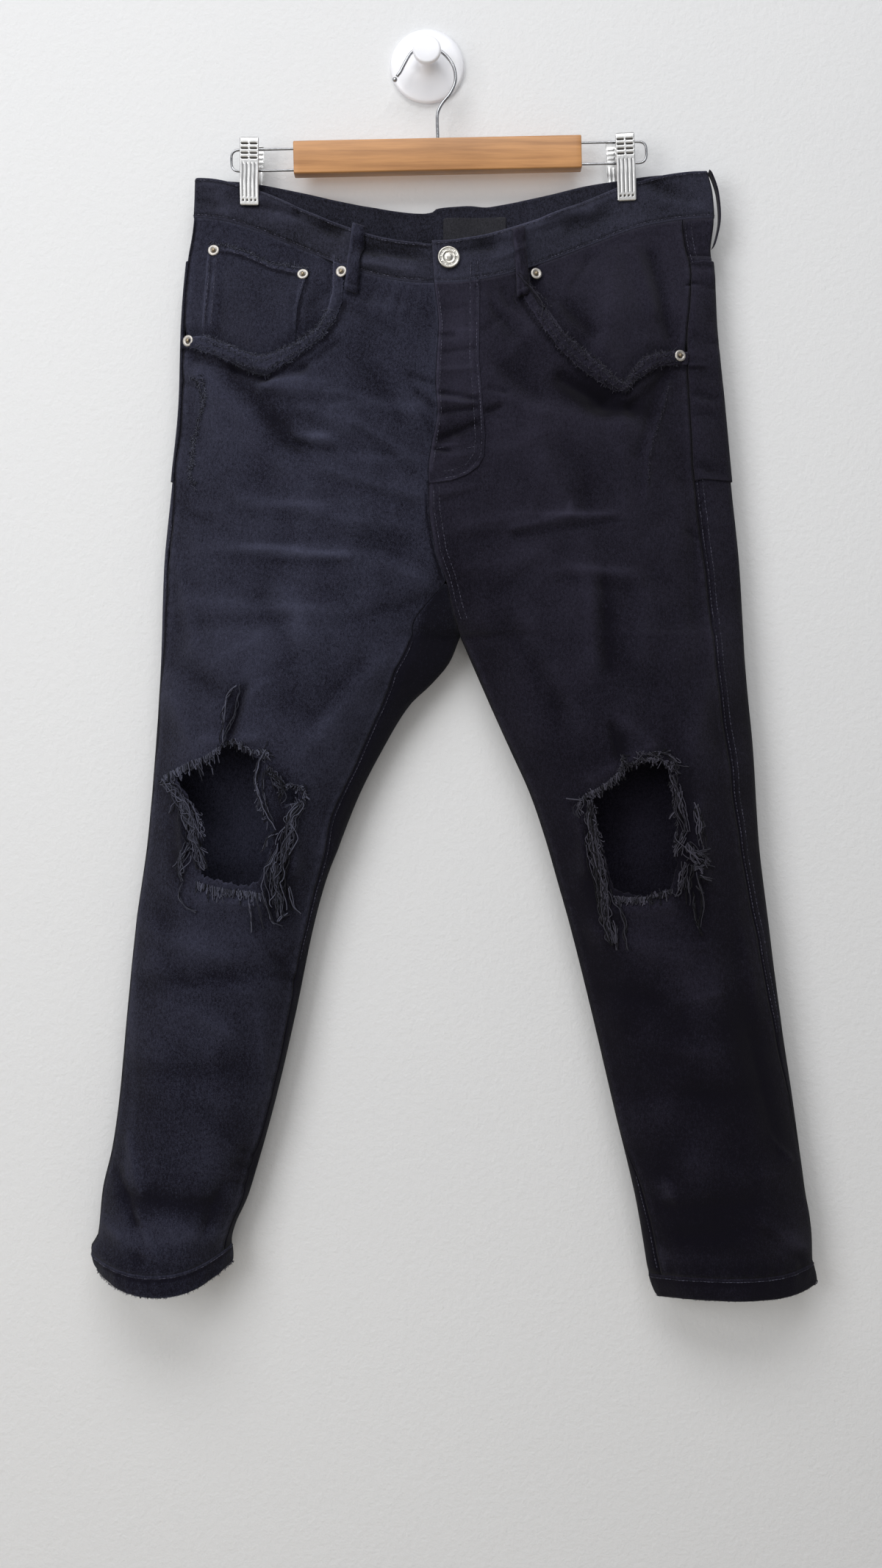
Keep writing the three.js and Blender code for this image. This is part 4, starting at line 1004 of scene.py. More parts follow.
def back_grid(side, rows, columns, top=None, bottom=None, **options):
    """Cloth of the back from the outseam on the front, round the side fold, to the centre."""
    start = stepped(side, outseam(side, rows), rows, -GAP)[:, None]
    u = columns[None, :]
    q = np.where(u < 0, mix(0, start, -u), -u)
    row = spread(rows, columns)
    v = (row - rows[0]) / (rows[-1] - rows[0])
    first = rows[0] if top is None else top(q)
    last = rows[-1] if bottom is None else bottom(q)
    return cloth_grid(side, q, first + (last - first) * v, **options)


AROUND = np.concatenate([np.linspace(-1, 0, 12)[:-1], even(59)])
FRONT_ROWS = np.concatenate([rows_between(UNDER_SEAM, CROTCH, 2.4),
                             rows_between(CROTCH, HEM_TOP - SEAM_GAP, 3.3)[1:]])


def sunk(side, x, down):
    """0 under the pocket opening's edge, 1 well inside the opening."""
    return smooth(inside_by(scoop_opening(side))(x, down) / 15)


def layer(name, side, outline, node, rows, columns, edge_wear=0.12, ragged=0.0, back=False,
          roll=0.0, rise=0.0, rope_share=0.0, **options):
    """A piece that lies on or under a panel: the same grid moved out or in, cut to an outline.

    roll and rope_share round and twist its edge; rise lifts it inside the pocket's opening."""
    inside = inside_by(outline)

    def lift(x, down):
        edge = roll * (1 - np.exp(-np.maximum(inside(x, down), 0) / 1.6))
        rope = 0.35 * roll * rope_share * np.sin(x * 1.05 + down * 0.55)
        rope = rope * np.sin(down * 0.8 - x * 0.31)
        return edge + rope + (rise * sunk(side, x, down) if rise else 0)
    build = back_grid if back else front_grid
    grid, x, down = build(side, rows, columns, lift=lift, **options)
    field = inside(x, down)
    field = field + ragged * (np.sin(1.7 * x + 1.1 * down) + np.sin(2.3 * down - 1.4 * x))
    return shell(name, [(grid, field)], DENIM[side], [node], SLOT[side], edge_wear=edge_wear)


for side in ("left", "right"):
    wearer = WEARER[side]
    cloth = DENIM[side]
    grid, x, down = front_grid(side, FRONT_ROWS, even(104))
    JOINED["front", side] = shell(f"front_{wearer}", [(grid, torn(side)(x, down))], cloth,
                                  [f"front_panel_{wearer}"], SLOT[side])
    # the back: below the yoke, the seat and the leg, then the strips round the inner fold
    lower = rows_between(CROTCH, HEM_TOP - SEAM_GAP, 6)
    patches = [
        whole(back_grid(side, rows_between(YOKE_TOP, YOKE_END, 5), AROUND,
                        lambda q: yoke_line(q) + SEAM_GAP)),
        whole(back_grid(side, rows_between(YOKE_END, CROTCH, 5.5), AROUND)),
        whole(back_grid(side, lower, AROUND)),
    ]
    # the strips round the inner fold are painted darker, as shade
    inner_q = stepped(side, inseam(side, lower), lower, GAP)[:, None]
    q = mix(-1.0, -2 + inner_q, even(8)[None, :])
    patches.append(whole(cloth_grid(side, q, spread(lower, q), extra_wear=-0.28)))
    if side == "left":
        part = rows_between(FORK_SEAM + 2, CROTCH, 5)
        inner_q = np.minimum(1, stepped(side, inseam(side, part), part, GAP))[:, None]
        q = mix(1.0, inner_q, even(8)[None, :])
        patches.append(whole(cloth_grid(side, q, spread(part, q), extra_wear=-0.2)))
    JOINED["back", side] = shell(f"back_{wearer}", patches, cloth, [f"back_panel_{wearer}"],
                                 SLOT[side])
    yoke = back_grid(side, rows_between(UNDER_SEAM, YOKE_TOP, 5), AROUND,
                     bottom=lambda q: yoke_line(q) - SEAM_GAP)
    shell(f"yoke_piece_{wearer}", [whole(yoke)], cloth, [f"yoke_{wearer}"], SLOT[side])

    band = SCOOP[side]["edge"] + SCOOP[side]["band"][::-1]
    JOINED["band", side] = layer(
        f"pocket_band_{wearer}", side, band, f"front_pocket_band_{wearer}",
        rows_between(UNDER_SEAM, 330, 1.4), even(170), out=1.1, thick=0.8, edge_wear=0.34,
        ragged=0.5, extra_wear=-0.04, roll=1.8, rope_share=1.0)
    # the pocket facings are painted darker, as shade inside the pocket openings
    layer(f"pocket_facing_{wearer}", side, FACING[side], f"front_pocket_facing_{wearer}",
          rows_between(UNDER_SEAM, 330, 2.5), even(100), out=-3.0, rise=2.7, thick=1.0,
          extra_wear=-0.12 if side == "left" else -0.04)
    layer(f"seat_pocket_{wearer}", side, BACK_POCKET[side], f"back_pocket_{wearer}",
          rows_between(YOKE_TOP, 425, 3), AROUND, back=True, top=yoke_line,
          out=1.5, thick=1.2, edge_wear=0.3)
# the coin pocket is painted darker, as shade inside the pocket opening
JOINED["coin"] = layer("coin_pocket_piece", "left", COIN_POCKET, "coin_pocket",
                       rows_between(UNDER_SEAM, 295, 1.8), even(120), out=-1.9,
                       thick=0.8, edge_wear=0.2, ragged=0.2, rise=2.7, extra_wear=-0.11)
JOINED["fly"] = layer("fly_piece", "right", FLY, "fly", rows_between(UNDER_SEAM, 405, 2),
                      even(140), out=1.3, thick=1.0, edge_wear=0.25)


# Hems: a turned ring round each leg's end, rounded below
def edge_profile(distance, radius, depth):
    """How far a soft edge falls back at a distance in from it."""
    k = np.clip(1 - distance / radius, 0, 1)
    return depth * (1 - np.sqrt(1 - k * k))


for side in ("left", "right"):
    ring = np.concatenate([-even(90)[::-1], even(90)[1:]])
    rows = np.concatenate([rows_between(HEM_TOP + SEAM_GAP, HEM_END - 2.5, 1.6),
                           HEM_END - np.array([1.9, 1.3, 0.8, 0.4, 0.12, 0])])
    row = spread(rows, ring)
    bottom = edge_profile(HEM_END - row, 2.4, 1.4)
    body = 0.9 * np.sin(np.clip((row - HEM_TOP) / (HEM_END - HEM_TOP), 0, 1) * math.pi) ** 0.7
    hem = cloth_grid(side, spread(ring, rows).T, row, out=0.15 + body - bottom,
                     thick=2.1 + 0.8 * body - 2 * bottom,
                     extra_wear=0.16 * bell(row - HEM_TOP - 1.2, 1.2) - 0.02
                     - 0.16 * bell(row - HEM_TOP - 4.6, 1.3) + 0.12 * bell(row - HEM_END, 2.0))
    JOINED["hem", side] = shell(f"hem_ring_{WEARER[side]}", [whole(hem)], DENIM[side],
                                [f"hem_{WEARER[side]}"], SLOT[side])


# Waistband: one strip from the buttonhole end round the back to the end under it
def band_top(side, q):
    """Row of the waistband's upper edge; behind, it rises 4 mm near the centre."""
    level = np.where(side == "left", 113.0, mix(106, 111, np.abs(q)))
    x = mix(OUTER_X[side](112.0), 8, np.abs(q))
    return level - np.where(np.asarray(q) < 0, 4.0 * np.exp(-((x - 24) / 19) ** 4), 0)


def band_grid(runs, out, thick, edge):
    """Columns of the waistband from runs of (side, q values, shifts)."""
    v = np.concatenate([[0, 0.006, 0.018, 0.036, 0.06], np.linspace(0.09, 0.91, 14),
                        [0.94, 0.964, 0.982, 0.994, 1]])
    parts, xs, downs = [], [], []
    for side, q, shift in runs:
        top = band_top(side, q)[None, :]
        row = top + (WAIST_SEAM - SEAM_GAP - top) * v[:, None]
        depth = np.minimum(row - top, WAIST_SEAM - SEAM_GAP - row)
        fall = edge_profile(depth, 1.8, edge)
        grid, x, down = cloth_grid(side, np.broadcast_to(q, row.shape), row,
                                   out=out + shift - fall, thick=thick - 2 * fall,
                                   extra_wear=0.26 * bell(depth, 1.2) - 0.16 * bell(depth - 3.4, 1.1)
                                   + (0.07 if side == "right" else 0))
        if parts:
            grid["uv"][..., 0] += parts[-1]["uv"][:, -1:, 0]
        parts.append(grid)
        xs.append(x)
        downs.append(down)
    joined = {k: np.concatenate([part[k] for part in parts], axis=1) for k in parts[0]}
    return joined, np.concatenate(xs, axis=1), np.concatenate(downs, axis=1)


FRONT_Q = np.concatenate([np.linspace(0, 0.16, 9)[1:], np.linspace(0.16, 1, 70)[1:]])
runs = [
    ("right", FRONT_Q[::-1], 0), ("right", np.array([0.0]), 0), ("right", -FRONT_Q, 0),
    ("left", -FRONT_Q[::-1][1:], 0), ("left", np.array([0.0]), 0),
    ("left", FRONT_Q[FRONT_Q < 0.95], 0),
    ("left", np.array([0.955, 0.965]), np.array([0.0, -0.9])),
    ("left", np.array([0.975, 0.985, 0.996]), np.array([-1.8, -2.6, -3.0])),
    ("right", np.array([0.985, 0.97, 0.95, 0.93, 0.9]), -3.0),
]
JOINED["band", "waist"] = shell("waistband_strip", [whole(band_grid(runs, 0.6, 2.4, 1.0))],
                                DENIM["band"], ["waistband"], SLOT["right"], edge_wear=0.1)
LABEL_ROWS = [("right", -np.linspace(0.55, 1, 60), -0.3)]
grid, x, down = band_grid(LABEL_ROWS, -1.8, 0.8, 0.0)
shell("waist_label_piece", [(grid, inside_by(LABEL)(x, down))], LABEL_CLOTH, ["waist_label"],
      "label", edge_wear=0.3)


# Belt loops: folded strips that stand off the band between their sewn ends
LOOP_WIDTH = 11.5


def belt_loop(name, node, side, top, bottom, lift, foot=1.4):
    """A loop between two ends, each (q at one edge, q at the other, row)."""
    u, v = even(18)[None, :], even(56)[:, None]
    q = mix(mix(top[0], top[1], u), mix(bottom[0], bottom[1], u), v)
    row = mix(top[2], bottom[2], v) + 0 * u
    arch = mix(1.4, foot, smooth(v * 1.2)) + lift * np.sin(math.pi * v) ** 0.5 + 0 * u
    across = np.abs(2 * u - 1)
    swell = 0.9 * (1 - across ** 4) - 0.5 * bell(across - 0.62, 0.09)
    ends = edge_profile(np.minimum(v * 2.2, 1 - v) * 62, 3.5, 1.4)
    tack = 0.7 * bell(v - 0.93, 0.028) - 0.7 * bell(v - 0.88, 0.014)
    height = swell + tack - 0.6 * ends
    fall = edge_profile((1 - across) * LOOP_WIDTH / 2, 1.6, 0.7)
    # a painted highlight along the loop's edge at u = 0 and painted shade over its side towards u = 1
    loop = cloth_grid(side, q + 0 * v, row, out=arch + 1.3 + height - fall,
                      thick=np.maximum(1.6 + height - 2 * fall, 0.5),
                      extra_wear=0.10 * tack - 0.02 + 0.22 * bell(u - 0.1, 0.1)
                      - 0.12 * smooth((u - 0.7) / 0.3))
    shell(name, [whole(loop)], DENIM[side], [node], SLOT[side], ["waistband"], edge_wear=0.1)


def loop_end(side, x, down):
    """The end of a front loop: where its two edges lie, and its row."""
    ends = np.array([x - LOOP_WIDTH / 2, x + LOOP_WIDTH / 2])
    s, row = locate(side, "front", ends, np.array([down, down]))
    return s[0], s[1], row.mean()


belt_loop("loop_front_right", "belt_loop_front_right", "left", loop_end("left", -60.5, 164),
          loop_end("left", -68, 226), 2, 3)
belt_loop("loop_front_left", "belt_loop_front_left", "right", loop_end("right", 80.5, 167),
          loop_end("right", 86, 230), 2, 3)

# the loop at the right-hand fold stands off it edge-on
u, v = even(12)[None, :], even(50)[:, None]
row = mix(106.5, 176, v) + 0 * u
away = 0.9 + 3.6 * np.sin(math.pi * v) ** 0.45 + 0 * u
fall = edge_profile(np.minimum(np.minimum(u, 1 - u) * LOOP_WIDTH, np.minimum(v, 1 - v) * 69),
                    1.2, 0.55)
place = np.stack([OUTER_X["right"](row) + away, FOLD_Y(row) + (u - 0.5) * LOOP_WIDTH + 0 * v, -row],
                 -1)
over = np.array([1.0, 0, 0])
grid = {
    "outer": place + over * (1.5 - fall)[..., None], "inner": place + over * fall[..., None],
    "wear": 0.06 + 0 * row[..., None], "uv": np.stack([(u + 0 * v) * LOOP_WIDTH, row], -1),
}
shell("loop_side_left", [whole((grid, row))], DENIM["right"], ["belt_loop_side_left"],
      SLOT["right"], ["waistband"], edge_wear=0.2)
belt_loop("loop_side_right", "belt_loop_side_right", "left", (-0.22, -0.265, 116),
          (-0.22, -0.265, 176), 2)
belt_loop("loop_back", "belt_loop_back", "right", (-0.955, -0.999, 112), (-0.955, -0.999, 176), 1.5)

# ------------------------------------------------------------------ places on the cloth
MAP_STEP, MAP_TOP, MAP_END = 4.0, 96, 1160


def cloth_map(side, face):
    """Depth and normal of one face of one half at even steps of x and down."""
    x0, x1 = (-330, 50) if side == "left" else (-10, 375)
    xs, downs = np.arange(x0, x1, MAP_STEP), np.arange(MAP_TOP, MAP_END, MAP_STEP)
    x, down = np.meshgrid(xs, downs)
    s, row = locate(side, face, x, down)
    sign = 1 if face == "front" else -1
    q = sign * np.maximum(s, 1e-4)
    return x0, np.concatenate([surface(side, q, row)[..., 1:2], normal(side, q, row)], -1)


MAPS = {(side, face): cloth_map(side, face) for side in ("left", "right")
        for face in ("front", "back")}


def onto(side, face, x, down, out):
    """Points over the cloth at (x, down), raised by out, and the normals there."""
    x, down = np.asarray(x, float), np.asarray(down, float)
    x0, table = MAPS[side, face]
    i = np.clip((down - MAP_TOP) / MAP_STEP, 0, table.shape[0] - 1.001)
    j = np.clip((x - x0) / MAP_STEP, 0, table.shape[1] - 1.001)
    i0, j0 = i.astype(int), j.astype(int)
    a, b = (i - i0)[..., None], (j - j0)[..., None]
    value = (table[i0, j0] * (1 - a) * (1 - b) + table[i0 + 1, j0] * a * (1 - b)
             + table[i0, j0 + 1] * (1 - a) * b + table[i0 + 1, j0 + 1] * a * b)
    n = unit(value[..., 1:])
    base = np.stack([x, value[..., 0], -down], -1)
    return base + n * (relief(face, x, down) + out)[..., None], n


def tube_piece(name, paths, radii, material, node, slot, sides=4, cap=True):
    """One mesh of round strands along lists of points."""
    vertices, faces, start = [], [], 0
    angles = np.arange(sides) * 2 * math.pi / sides
    wheel = np.arange(sides)
    for path, radius in zip(paths, radii):
        n = len(path)
        tangent = unit(np.gradient(path, axis=0))
        across = unit(np.cross(tangent, np.array([0.31, 1.0, 0.13])))
        lift = np.cross(across, tangent)
        size = np.broadcast_to(radius, n)[:, None, None]
        ring = path[:, None] + size * (np.cos(angles)[None, :, None] * across[:, None]
                                       + np.sin(angles)[None, :, None] * lift[:, None])
        vertices.append(ring.reshape(-1, 3))
        i = start + np.arange(n - 1)[:, None] * sides
        quads = np.stack([i + wheel, i + (wheel + 1) % sides, i + sides + (wheel + 1) % sides,
                          i + sides + wheel], -1).reshape(-1, 4)
        faces += [tuple(f) for f in quads.tolist()]
        if cap:
            faces += [tuple((start + wheel[::-1]).tolist()),
                      tuple((start + (n - 1) * sides + wheel).tolist())]
        start += n * sides
    obj = link(name, np.concatenate(vertices), faces, material)
    tones = np.random.default_rng(len(paths)).uniform(0, 1, len(paths)) ** 1.3
    add_values(obj, "strand", np.repeat(tones, [len(path) * sides for path in paths]))
    return stand_in(obj, slot, node)


# ------------------------------------------------------------------ stitching
def resampled(chain, step):
    """A chain's points at even steps along it."""
    chain = np.asarray(chain, float)
    lengths = np.concatenate([[0], np.cumsum(np.linalg.norm(np.diff(chain, axis=0), axis=1))])
    places = np.arange(0, lengths[-1], step)
    return np.stack([np.interp(places, lengths, chain[:, i]) for i in range(chain.shape[1])], -1)


def stitches(points, normals, pitch=3.3, share=0.78, height=0.22, sink=0.35):
    """Short strands along a dense line of points: one stitch each pitch."""
    per = 4
    both = resampled(np.concatenate([points, normals], axis=1), pitch / per)
    use = int(round(per * share)) + 1
    profile = -sink + (height + sink) * np.sin(np.linspace(0, math.pi, use)) ** 0.5
    made = []
    for first in range(0, len(both) - use, per):
        part = both[first:first + use]
        made.append(part[:, :3] + unit(part[:, 3:]) * profile[:, None])
    return made


def seam_xd(side, face, chain, out):
    dense = resampled(chain, 0.8)
    return onto(side, face, dense[:, 0], dense[:, 1], out)


def seam_q(side, q, row, out):
    """A line along the cloth given by its girth parameter and row."""
    q, row = np.broadcast_arrays(np.asarray(q, float), np.asarray(row, float))
    points, n, _, height = rumpled(side, q, row)
    return points + n * (height + out)[..., None], n


def offset_chain(chain, distance):
    """A chain moved sideways in its own plane."""
    chain = np.asarray(chain, float)
    along = unit(np.gradient(chain, axis=0))
    return chain + distance * np.stack([-along[:, 1], along[:, 0]], -1)


SEWN = {("left", "front"): [], ("left", "back"): [], ("right", "front"): [], ("right", "back"): []}


def sew(side, face, line, **options):
    SEWN[side, face] += stitches(*line, **options)


def sew_beside(side, face, chain, distance, out):
    """Stitches along a chain, at a distance to one side of it."""
    line = offset_chain(resampled(chain, 3), distance)
    sew(side, face, seam_xd(side, face, line, out))


for side in ("left", "right"):
    turn = 1 if side == "left" else -1
    # pocket bands and scoops
    for distance in (1.6, 6.6):
        sew_beside(side, "front", SCOOP[side]["edge"][:-1], -turn * distance, 1.7)
    # hems, all round
    sew(side, "front", seam_q(side, np.linspace(-0.999, 0.999, 900), HEM_TOP + 2.6, 0.9))
    # waistband edges
    for face, sign in (("front", 1), ("back", -1)):
        q = sign * np.linspace(0.02, 0.99, 500)
        sew(side, face, seam_q(side, q, band_top(side, q) + 2.6, 0.6))
        sew(side, face, seam_q(side, q, WAIST_SEAM - 2.8, 0.6))
    # back yoke and seat pockets
    q = -np.linspace(0.02, 0.99, 400)
    for below in (2.4, 8.0):
        sew(side, "back", seam_q(side, q, yoke_line(q) + below, 0.05))
    edge = offset_chain(resampled(BACK_POCKET[side][1:6], 3), turn * -2.4)
    sew(side, "back", seam_xd(side, "back", edge, 1.5))
    sew(side, "back", seam_xd(side, "back", offset_chain(edge, turn * -6), 1.5))
    # side seams, on the back panel's edge
    rows = np.linspace(WAIST_SEAM + 4, HEM_TOP - 4, 1000)
    rows = rows[OUTSEAM_IN[side](rows) > (4.4 if side == "left" else 9)]
    for step in (-2.4,) if side == "left" else (-2.4, -8):
        sew(side, "front", seam_q(side, stepped(side, outseam(side, rows), rows, step), rows, 0.05))
    rows = np.linspace(CROTCH + 6, HEM_TOP - 4, 700)
    rows = rows[INSEAM_IN[side](rows) > 5.5]
    inner = inseam(side, rows)
    sew(side, "front", seam_q(side, stepped(side, inner, rows, 2.6) - 2, rows, 0.05))
# fly, its J, and the seam below it
J_LINE = [(47, 200), (46.4, 218), (46, 289), (49, 324), (51, 359), (49.6, 377), (40.3, 390),
          (26, 396.5), (12, 398.5)]
for distance in (1.5, 7.5):
    sew_beside("right", "front", J_LINE, distance, 1.3)
CENTRE_LINE = [(8.5, 222), (12.6, 258), (10.4, 310), (11.8, 336), (6.6, 368), (4.5, 389)]
sew_beside("right", "front", CENTRE_LINE, -1.4, 1.3)
CENTRE_BELOW = [(4, 404), (4.5, 424), (10.5, 461), (18.5, 483), (25, 509), (31, 526)]
for distance in (2.2, 7.2):
    sew_beside("right", "front", CENTRE_BELOW, -distance, 0.05)
    sew("right", "back", seam_q("right", -0.985, np.linspace(160, 530, 500), 0.05))
for x0 in (8, 36):
    sew("right", "front", seam_xd("right", "front", [(x0, 369.5), (x0 + 8, 368.5)], 1.3), pitch=1.1)
# coin pocket
for distance in (1.8, 7.6):
    sew_beside("left", "front", [(-199, 176), (-203, 235), (-204, 256)], -distance, 0.85)
for line in ([(-110.5, 203), (-118.5, 239), (-119.4, 258)],
             [(-196, 179), (-170, 186), (-143, 198), (-112, 205)]):
    sew("left", "front", seam_xd("left", "front", line, 0.85))


def bar_tack(side, x0, x1, down, out):
    """Close stitches across the foot or head of a loop."""
    made = []
    for n in range(9):
        x = mix(x0, x1, n / 8)
        line = [(x, down - 1.3), (x + 0.4, down + 1.3)]
        made += stitches(*seam_xd(side, "front", resampled(line, 0.5), out), pitch=2.2, share=1)
    return made


for side, x, down, out in (("left", -60.8, 164, 3.6), ("left", -67.8, 223.5, 4.9),
                           ("right", 80.7, 168, 3.6), ("right", 85.8, 227.5, 4.9)):
    SEWN[side, "front"] += bar_tack(side, x - 4.6, x + 4.6, down, out)
# buttonhole: close stitches round the slot
for n in range(46):
    angle = 2 * math.pi * n / 46
    x, down = 38 + 8.2 * math.cos(angle), 198.3 + 1.5 * math.sin(angle)
    line = [(x, down), (x + 1.5 * math.cos(angle), down + 1.6 * math.sin(angle))]
    SEWN["right", "front"] += stitches(*seam_xd("right", "front", resampled(line, 0.3), 0.75),
                                       pitch=1.6, share=1)
for (side, face), paths in SEWN.items():
    obj = tube_piece(f"stitches_{face}_{WEARER[side]}", paths, [0.3] * len(paths), STITCH,
                     f"{face}_panel_{WEARER[side]}", SLOT[side], cap=False)
    JOINED[face, side]["with"].append(obj)

# ------------------------------------------------------------------ torn threads
# Loose threads below the belt loop, as (x, down) points
LOOP_THREADS = [
    [(80, 211), (86, 219), (93, 226), (101, 235), (109, 245)],
    [(81, 209), (88, 216), (94, 227), (100, 239), (106, 243)],
    [(82, 213), (90, 221), (98, 229), (104, 241), (103, 252)],
    [(78, 230), (77, 235), (80, 239)],
]
# Tassels over the knees: spine (x, down), half width at start, middle and end, strands, curl
TASSELS = {
    "left": [
        ([(-240, 665), (-226, 676), (-216, 691), (-210, 707), (-207, 721), (-202, 733),
          (-197.5, 747)], 4, 9, 5, 95, 1.5),
        ([(-207, 721), (-199, 727), (-191, 732)], 2, 3, 4, 9, 0.8),
        ([(-211, 719), (-214, 731), (-218, 739), (-220, 749), (-215, 758)], 4, 8, 5, 34, 1.7),
        ([(-217.5, 757), (-221.6, 771), (-214, 780), (-204, 783)], 0.6, 0.8, 2, 4, 0.4),
        ([(-167, 579), (-170, 591), (-172.5, 605), (-178, 622), (-186, 641)], 1.6, 2.6, 1.5, 11, 0.5),
        ([(-168, 580), (-177, 590), (-181, 606), (-181, 624), (-184, 634)], 1.0, 3.2, 2.5, 10, 0.7),
        ([(-143.5, 638), (-150, 648), (-153.5, 665), (-148.5, 684), (-142, 699), (-134, 711)],
         1.2, 1.6, 1, 8, 0.4),
        ([(-145, 654), (-146, 676), (-140, 698), (-133, 710)], 1, 1.5, 1, 5, 0.4),
        ([(-142, 654), (-136, 662), (-131, 674), (-134, 686)], 5, 6, 4, 30, 1.8),
        ([(-112, 684), (-122, 697), (-126, 712), (-127, 726), (-132, 738)], 5, 8, 7, 72, 1.5),
        ([(-129, 722), (-133, 738), (-137, 752), (-135, 771), (-133, 790)], 6, 13, 8, 84, 1.2),
        ([(-133, 711), (-143, 717), (-148.5, 731)], 1.5, 2, 2, 6, 0.7),
        ([(-148, 765), (-143, 781), (-139, 794), (-129, 797)], 0.8, 1, 2, 5, 0.4),
        ([(-126, 758), (-122, 780), (-116, 787)], 2, 2, 2.5, 6, 0.5),
        ([(-136, 793), (-129, 788), (-121, 783)], 1, 1.5, 2, 5, 0.8),
        ([(-160, 766), (-157.5, 786), (-156.6, 812)], 0.8, 0.7, 0.4, 6, 0.3),
        ([(-154, 764), (-149, 786), (-147, 802)], 0.6, 0.7, 0.4, 3, 0.3),
        ([(-204, 650), (-201, 660), (-199, 669)], 0.8, 1, 0.8, 4, 0.4),
        ([(-196, 649), (-190.5, 655), (-190, 664)], 0.4, 0.6, 0.6, 3, 0.4),
        ([(-245, 668), (-238, 668), (-228, 668)], 2, 3, 3, 12, 1.2),
        ([(-222, 682), (-231, 696), (-232, 698)], 0.8, 0.6, 0.6, 3, 0.4),
    ],
    "right": [
        ([(146, 683), (147.5, 695), (148.5, 708), (150, 724), (155, 741), (158, 760), (160, 777),
          (162, 790), (165, 802), (169, 814)], 3.5, 8.5, 3, 110, 1.4),
        ([(163, 762), (171, 776), (177, 786), (178.5, 801), (182, 818)], 4, 3, 2.2, 16, 0.7),
        ([(168, 790), (172, 803), (172.5, 819)], 1.5, 1.5, 1, 5, 0.5),
        ([(141, 683), (134, 682), (125, 682)], 1.2, 1, 0.8, 5, 0.5),
        ([(140, 684), (137, 692), (141, 700)], 4, 4, 3, 18, 1.3),
        ([(219, 660), (223, 673), (224.5, 690), (230, 703), (232.5, 714)], 3, 5.5, 3, 48, 0.7),
        ([(238, 687), (242, 704), (243, 728)], 4, 5, 5, 34, 1.5),
        ([(230, 710), (226.5, 724), (223.5, 735)], 4, 6, 4, 30, 1.2),
        ([(231, 722), (238, 733), (246, 738)], 5, 7, 6, 40, 2.2),
        ([(231, 738), (227, 757), (223, 772)], 3, 4, 1.5, 26, 0.7),
        ([(235, 740), (234, 763), (233, 778)], 3, 4, 2.5, 22, 0.7),
        ([(239, 742), (244.5, 765), (246.5, 779), (243.5, 798)], 3, 2.4, 1.2, 13, 0.5),
        ([(237, 764), (239.5, 789), (247, 807)], 1.6, 1.4, 0.8, 6, 0.5),
        ([(242, 750), (248, 753), (254.5, 755)], 1.5, 1.6, 1.5, 7, 0.6),
        ([(240, 760), (245, 766), (250, 768.5)], 1, 1, 1, 4, 0.5),
        ([(221, 694), (218, 697), (216, 700)], 1, 1.2, 1.2, 4, 0.5),
    ],
}


def smooth_path(points, per=10):
    """Catmull-Rom curve through points."""
    p = np.asarray(points, float)
    p = np.concatenate([[2 * p[0] - p[1]], p, [2 * p[-1] - p[-2]]])
    made = []
    for n in range(1, len(p) - 2):
        for k in np.arange(per) / per:
            made.append(0.5 * (2 * p[n] + (p[n + 1] - p[n - 1]) * k
                               + (2 * p[n - 1] - 5 * p[n] + 4 * p[n + 1] - p[n + 2]) * k * k
                               + (3 * p[n] - p[n - 1] - 3 * p[n + 1] + p[n + 2]) * k ** 3))
    return np.array(made + [p[-2]])


def wandering(rng, n, size, step, length):
    """Smooth random offsets of a strand along its length."""
    t = np.arange(n) * step
    total = np.zeros(n)
    for _ in range(3):
        total += rng.normal() * np.sin(t * 2 * math.pi / (length * rng.uniform(0.6, 2.2))
                                       + rng.uniform(0, 6.28))
    return total * size * 0.62


STRAND_STEP = 1.25
LOOP_PITCH, HAIR_PITCH = 1.7, 1.6       # spacing in millimetres where the closeness is 1
LOOP_LIFT, LOOP_SPREAD = 0.5, 1.6       # height over the cloth, and scatter of a loop's end
STRAND_SHARE = 0.36                     # share of the listed strands that are made


def tassel(rng, spine, first, middle, last, count, curl):
    """Strands that wander along a spine, as (x, down) points and their heights."""
    dense = resampled(spine, STRAND_STEP)
    if len(dense) > 12:         # round the corners of the listed spine
        kernel = np.hanning(9) / np.hanning(9).sum()
        padded = np.concatenate([np.repeat(dense[:1], 4, 0), dense, np.repeat(dense[-1:], 4, 0)])
        dense = np.stack([np.convolve(padded[:, i], kernel, "valid") for i in (0, 1)], -1)
    n = len(dense)
    along = unit(np.gradient(dense, axis=0))
    beside = np.stack([-along[:, 1], along[:, 0]], -1)
    k = np.linspace(0, 1, n)
    width = np.where(k < 0.5, mix(first, middle, smooth(k * 2)), mix(middle, last, smooth(k * 2 - 1)))
    strands = []
    for _ in range(max(3, int(count * STRAND_SHARE)) if count > 8 else count):
        a = int(n * rng.uniform(0, 0.34) * (rng.random() < 0.75))
        b = int(n * (1 - rng.uniform(0, 0.42) * (rng.random() < 0.7)))
        if b - a < 5:
            continue
        m = b - a
        lane = np.clip(rng.normal(0, 0.5), -1.1, 1.1)
        lane = lane + (np.clip(rng.normal(0, 0.5), -1.1, 1.1) - lane) * smooth(np.linspace(0, 1, m))
        sideways = lane * width[a:b] + wandering(rng, m, curl, STRAND_STEP, 17)
        slide = wandering(rng, m, curl * 0.6, STRAND_STEP, 15)
        place = dense[a:b] + beside[a:b] * sideways[:, None] + along[a:b] * slide[:, None]
        out = 0.6 + rng.uniform(0, 4.2) * (1 - 0.5 * np.abs(lane)) + np.abs(
            wandering(rng, m, 0.6, STRAND_STEP, 16))
        strands.append((place, out))
    return strands


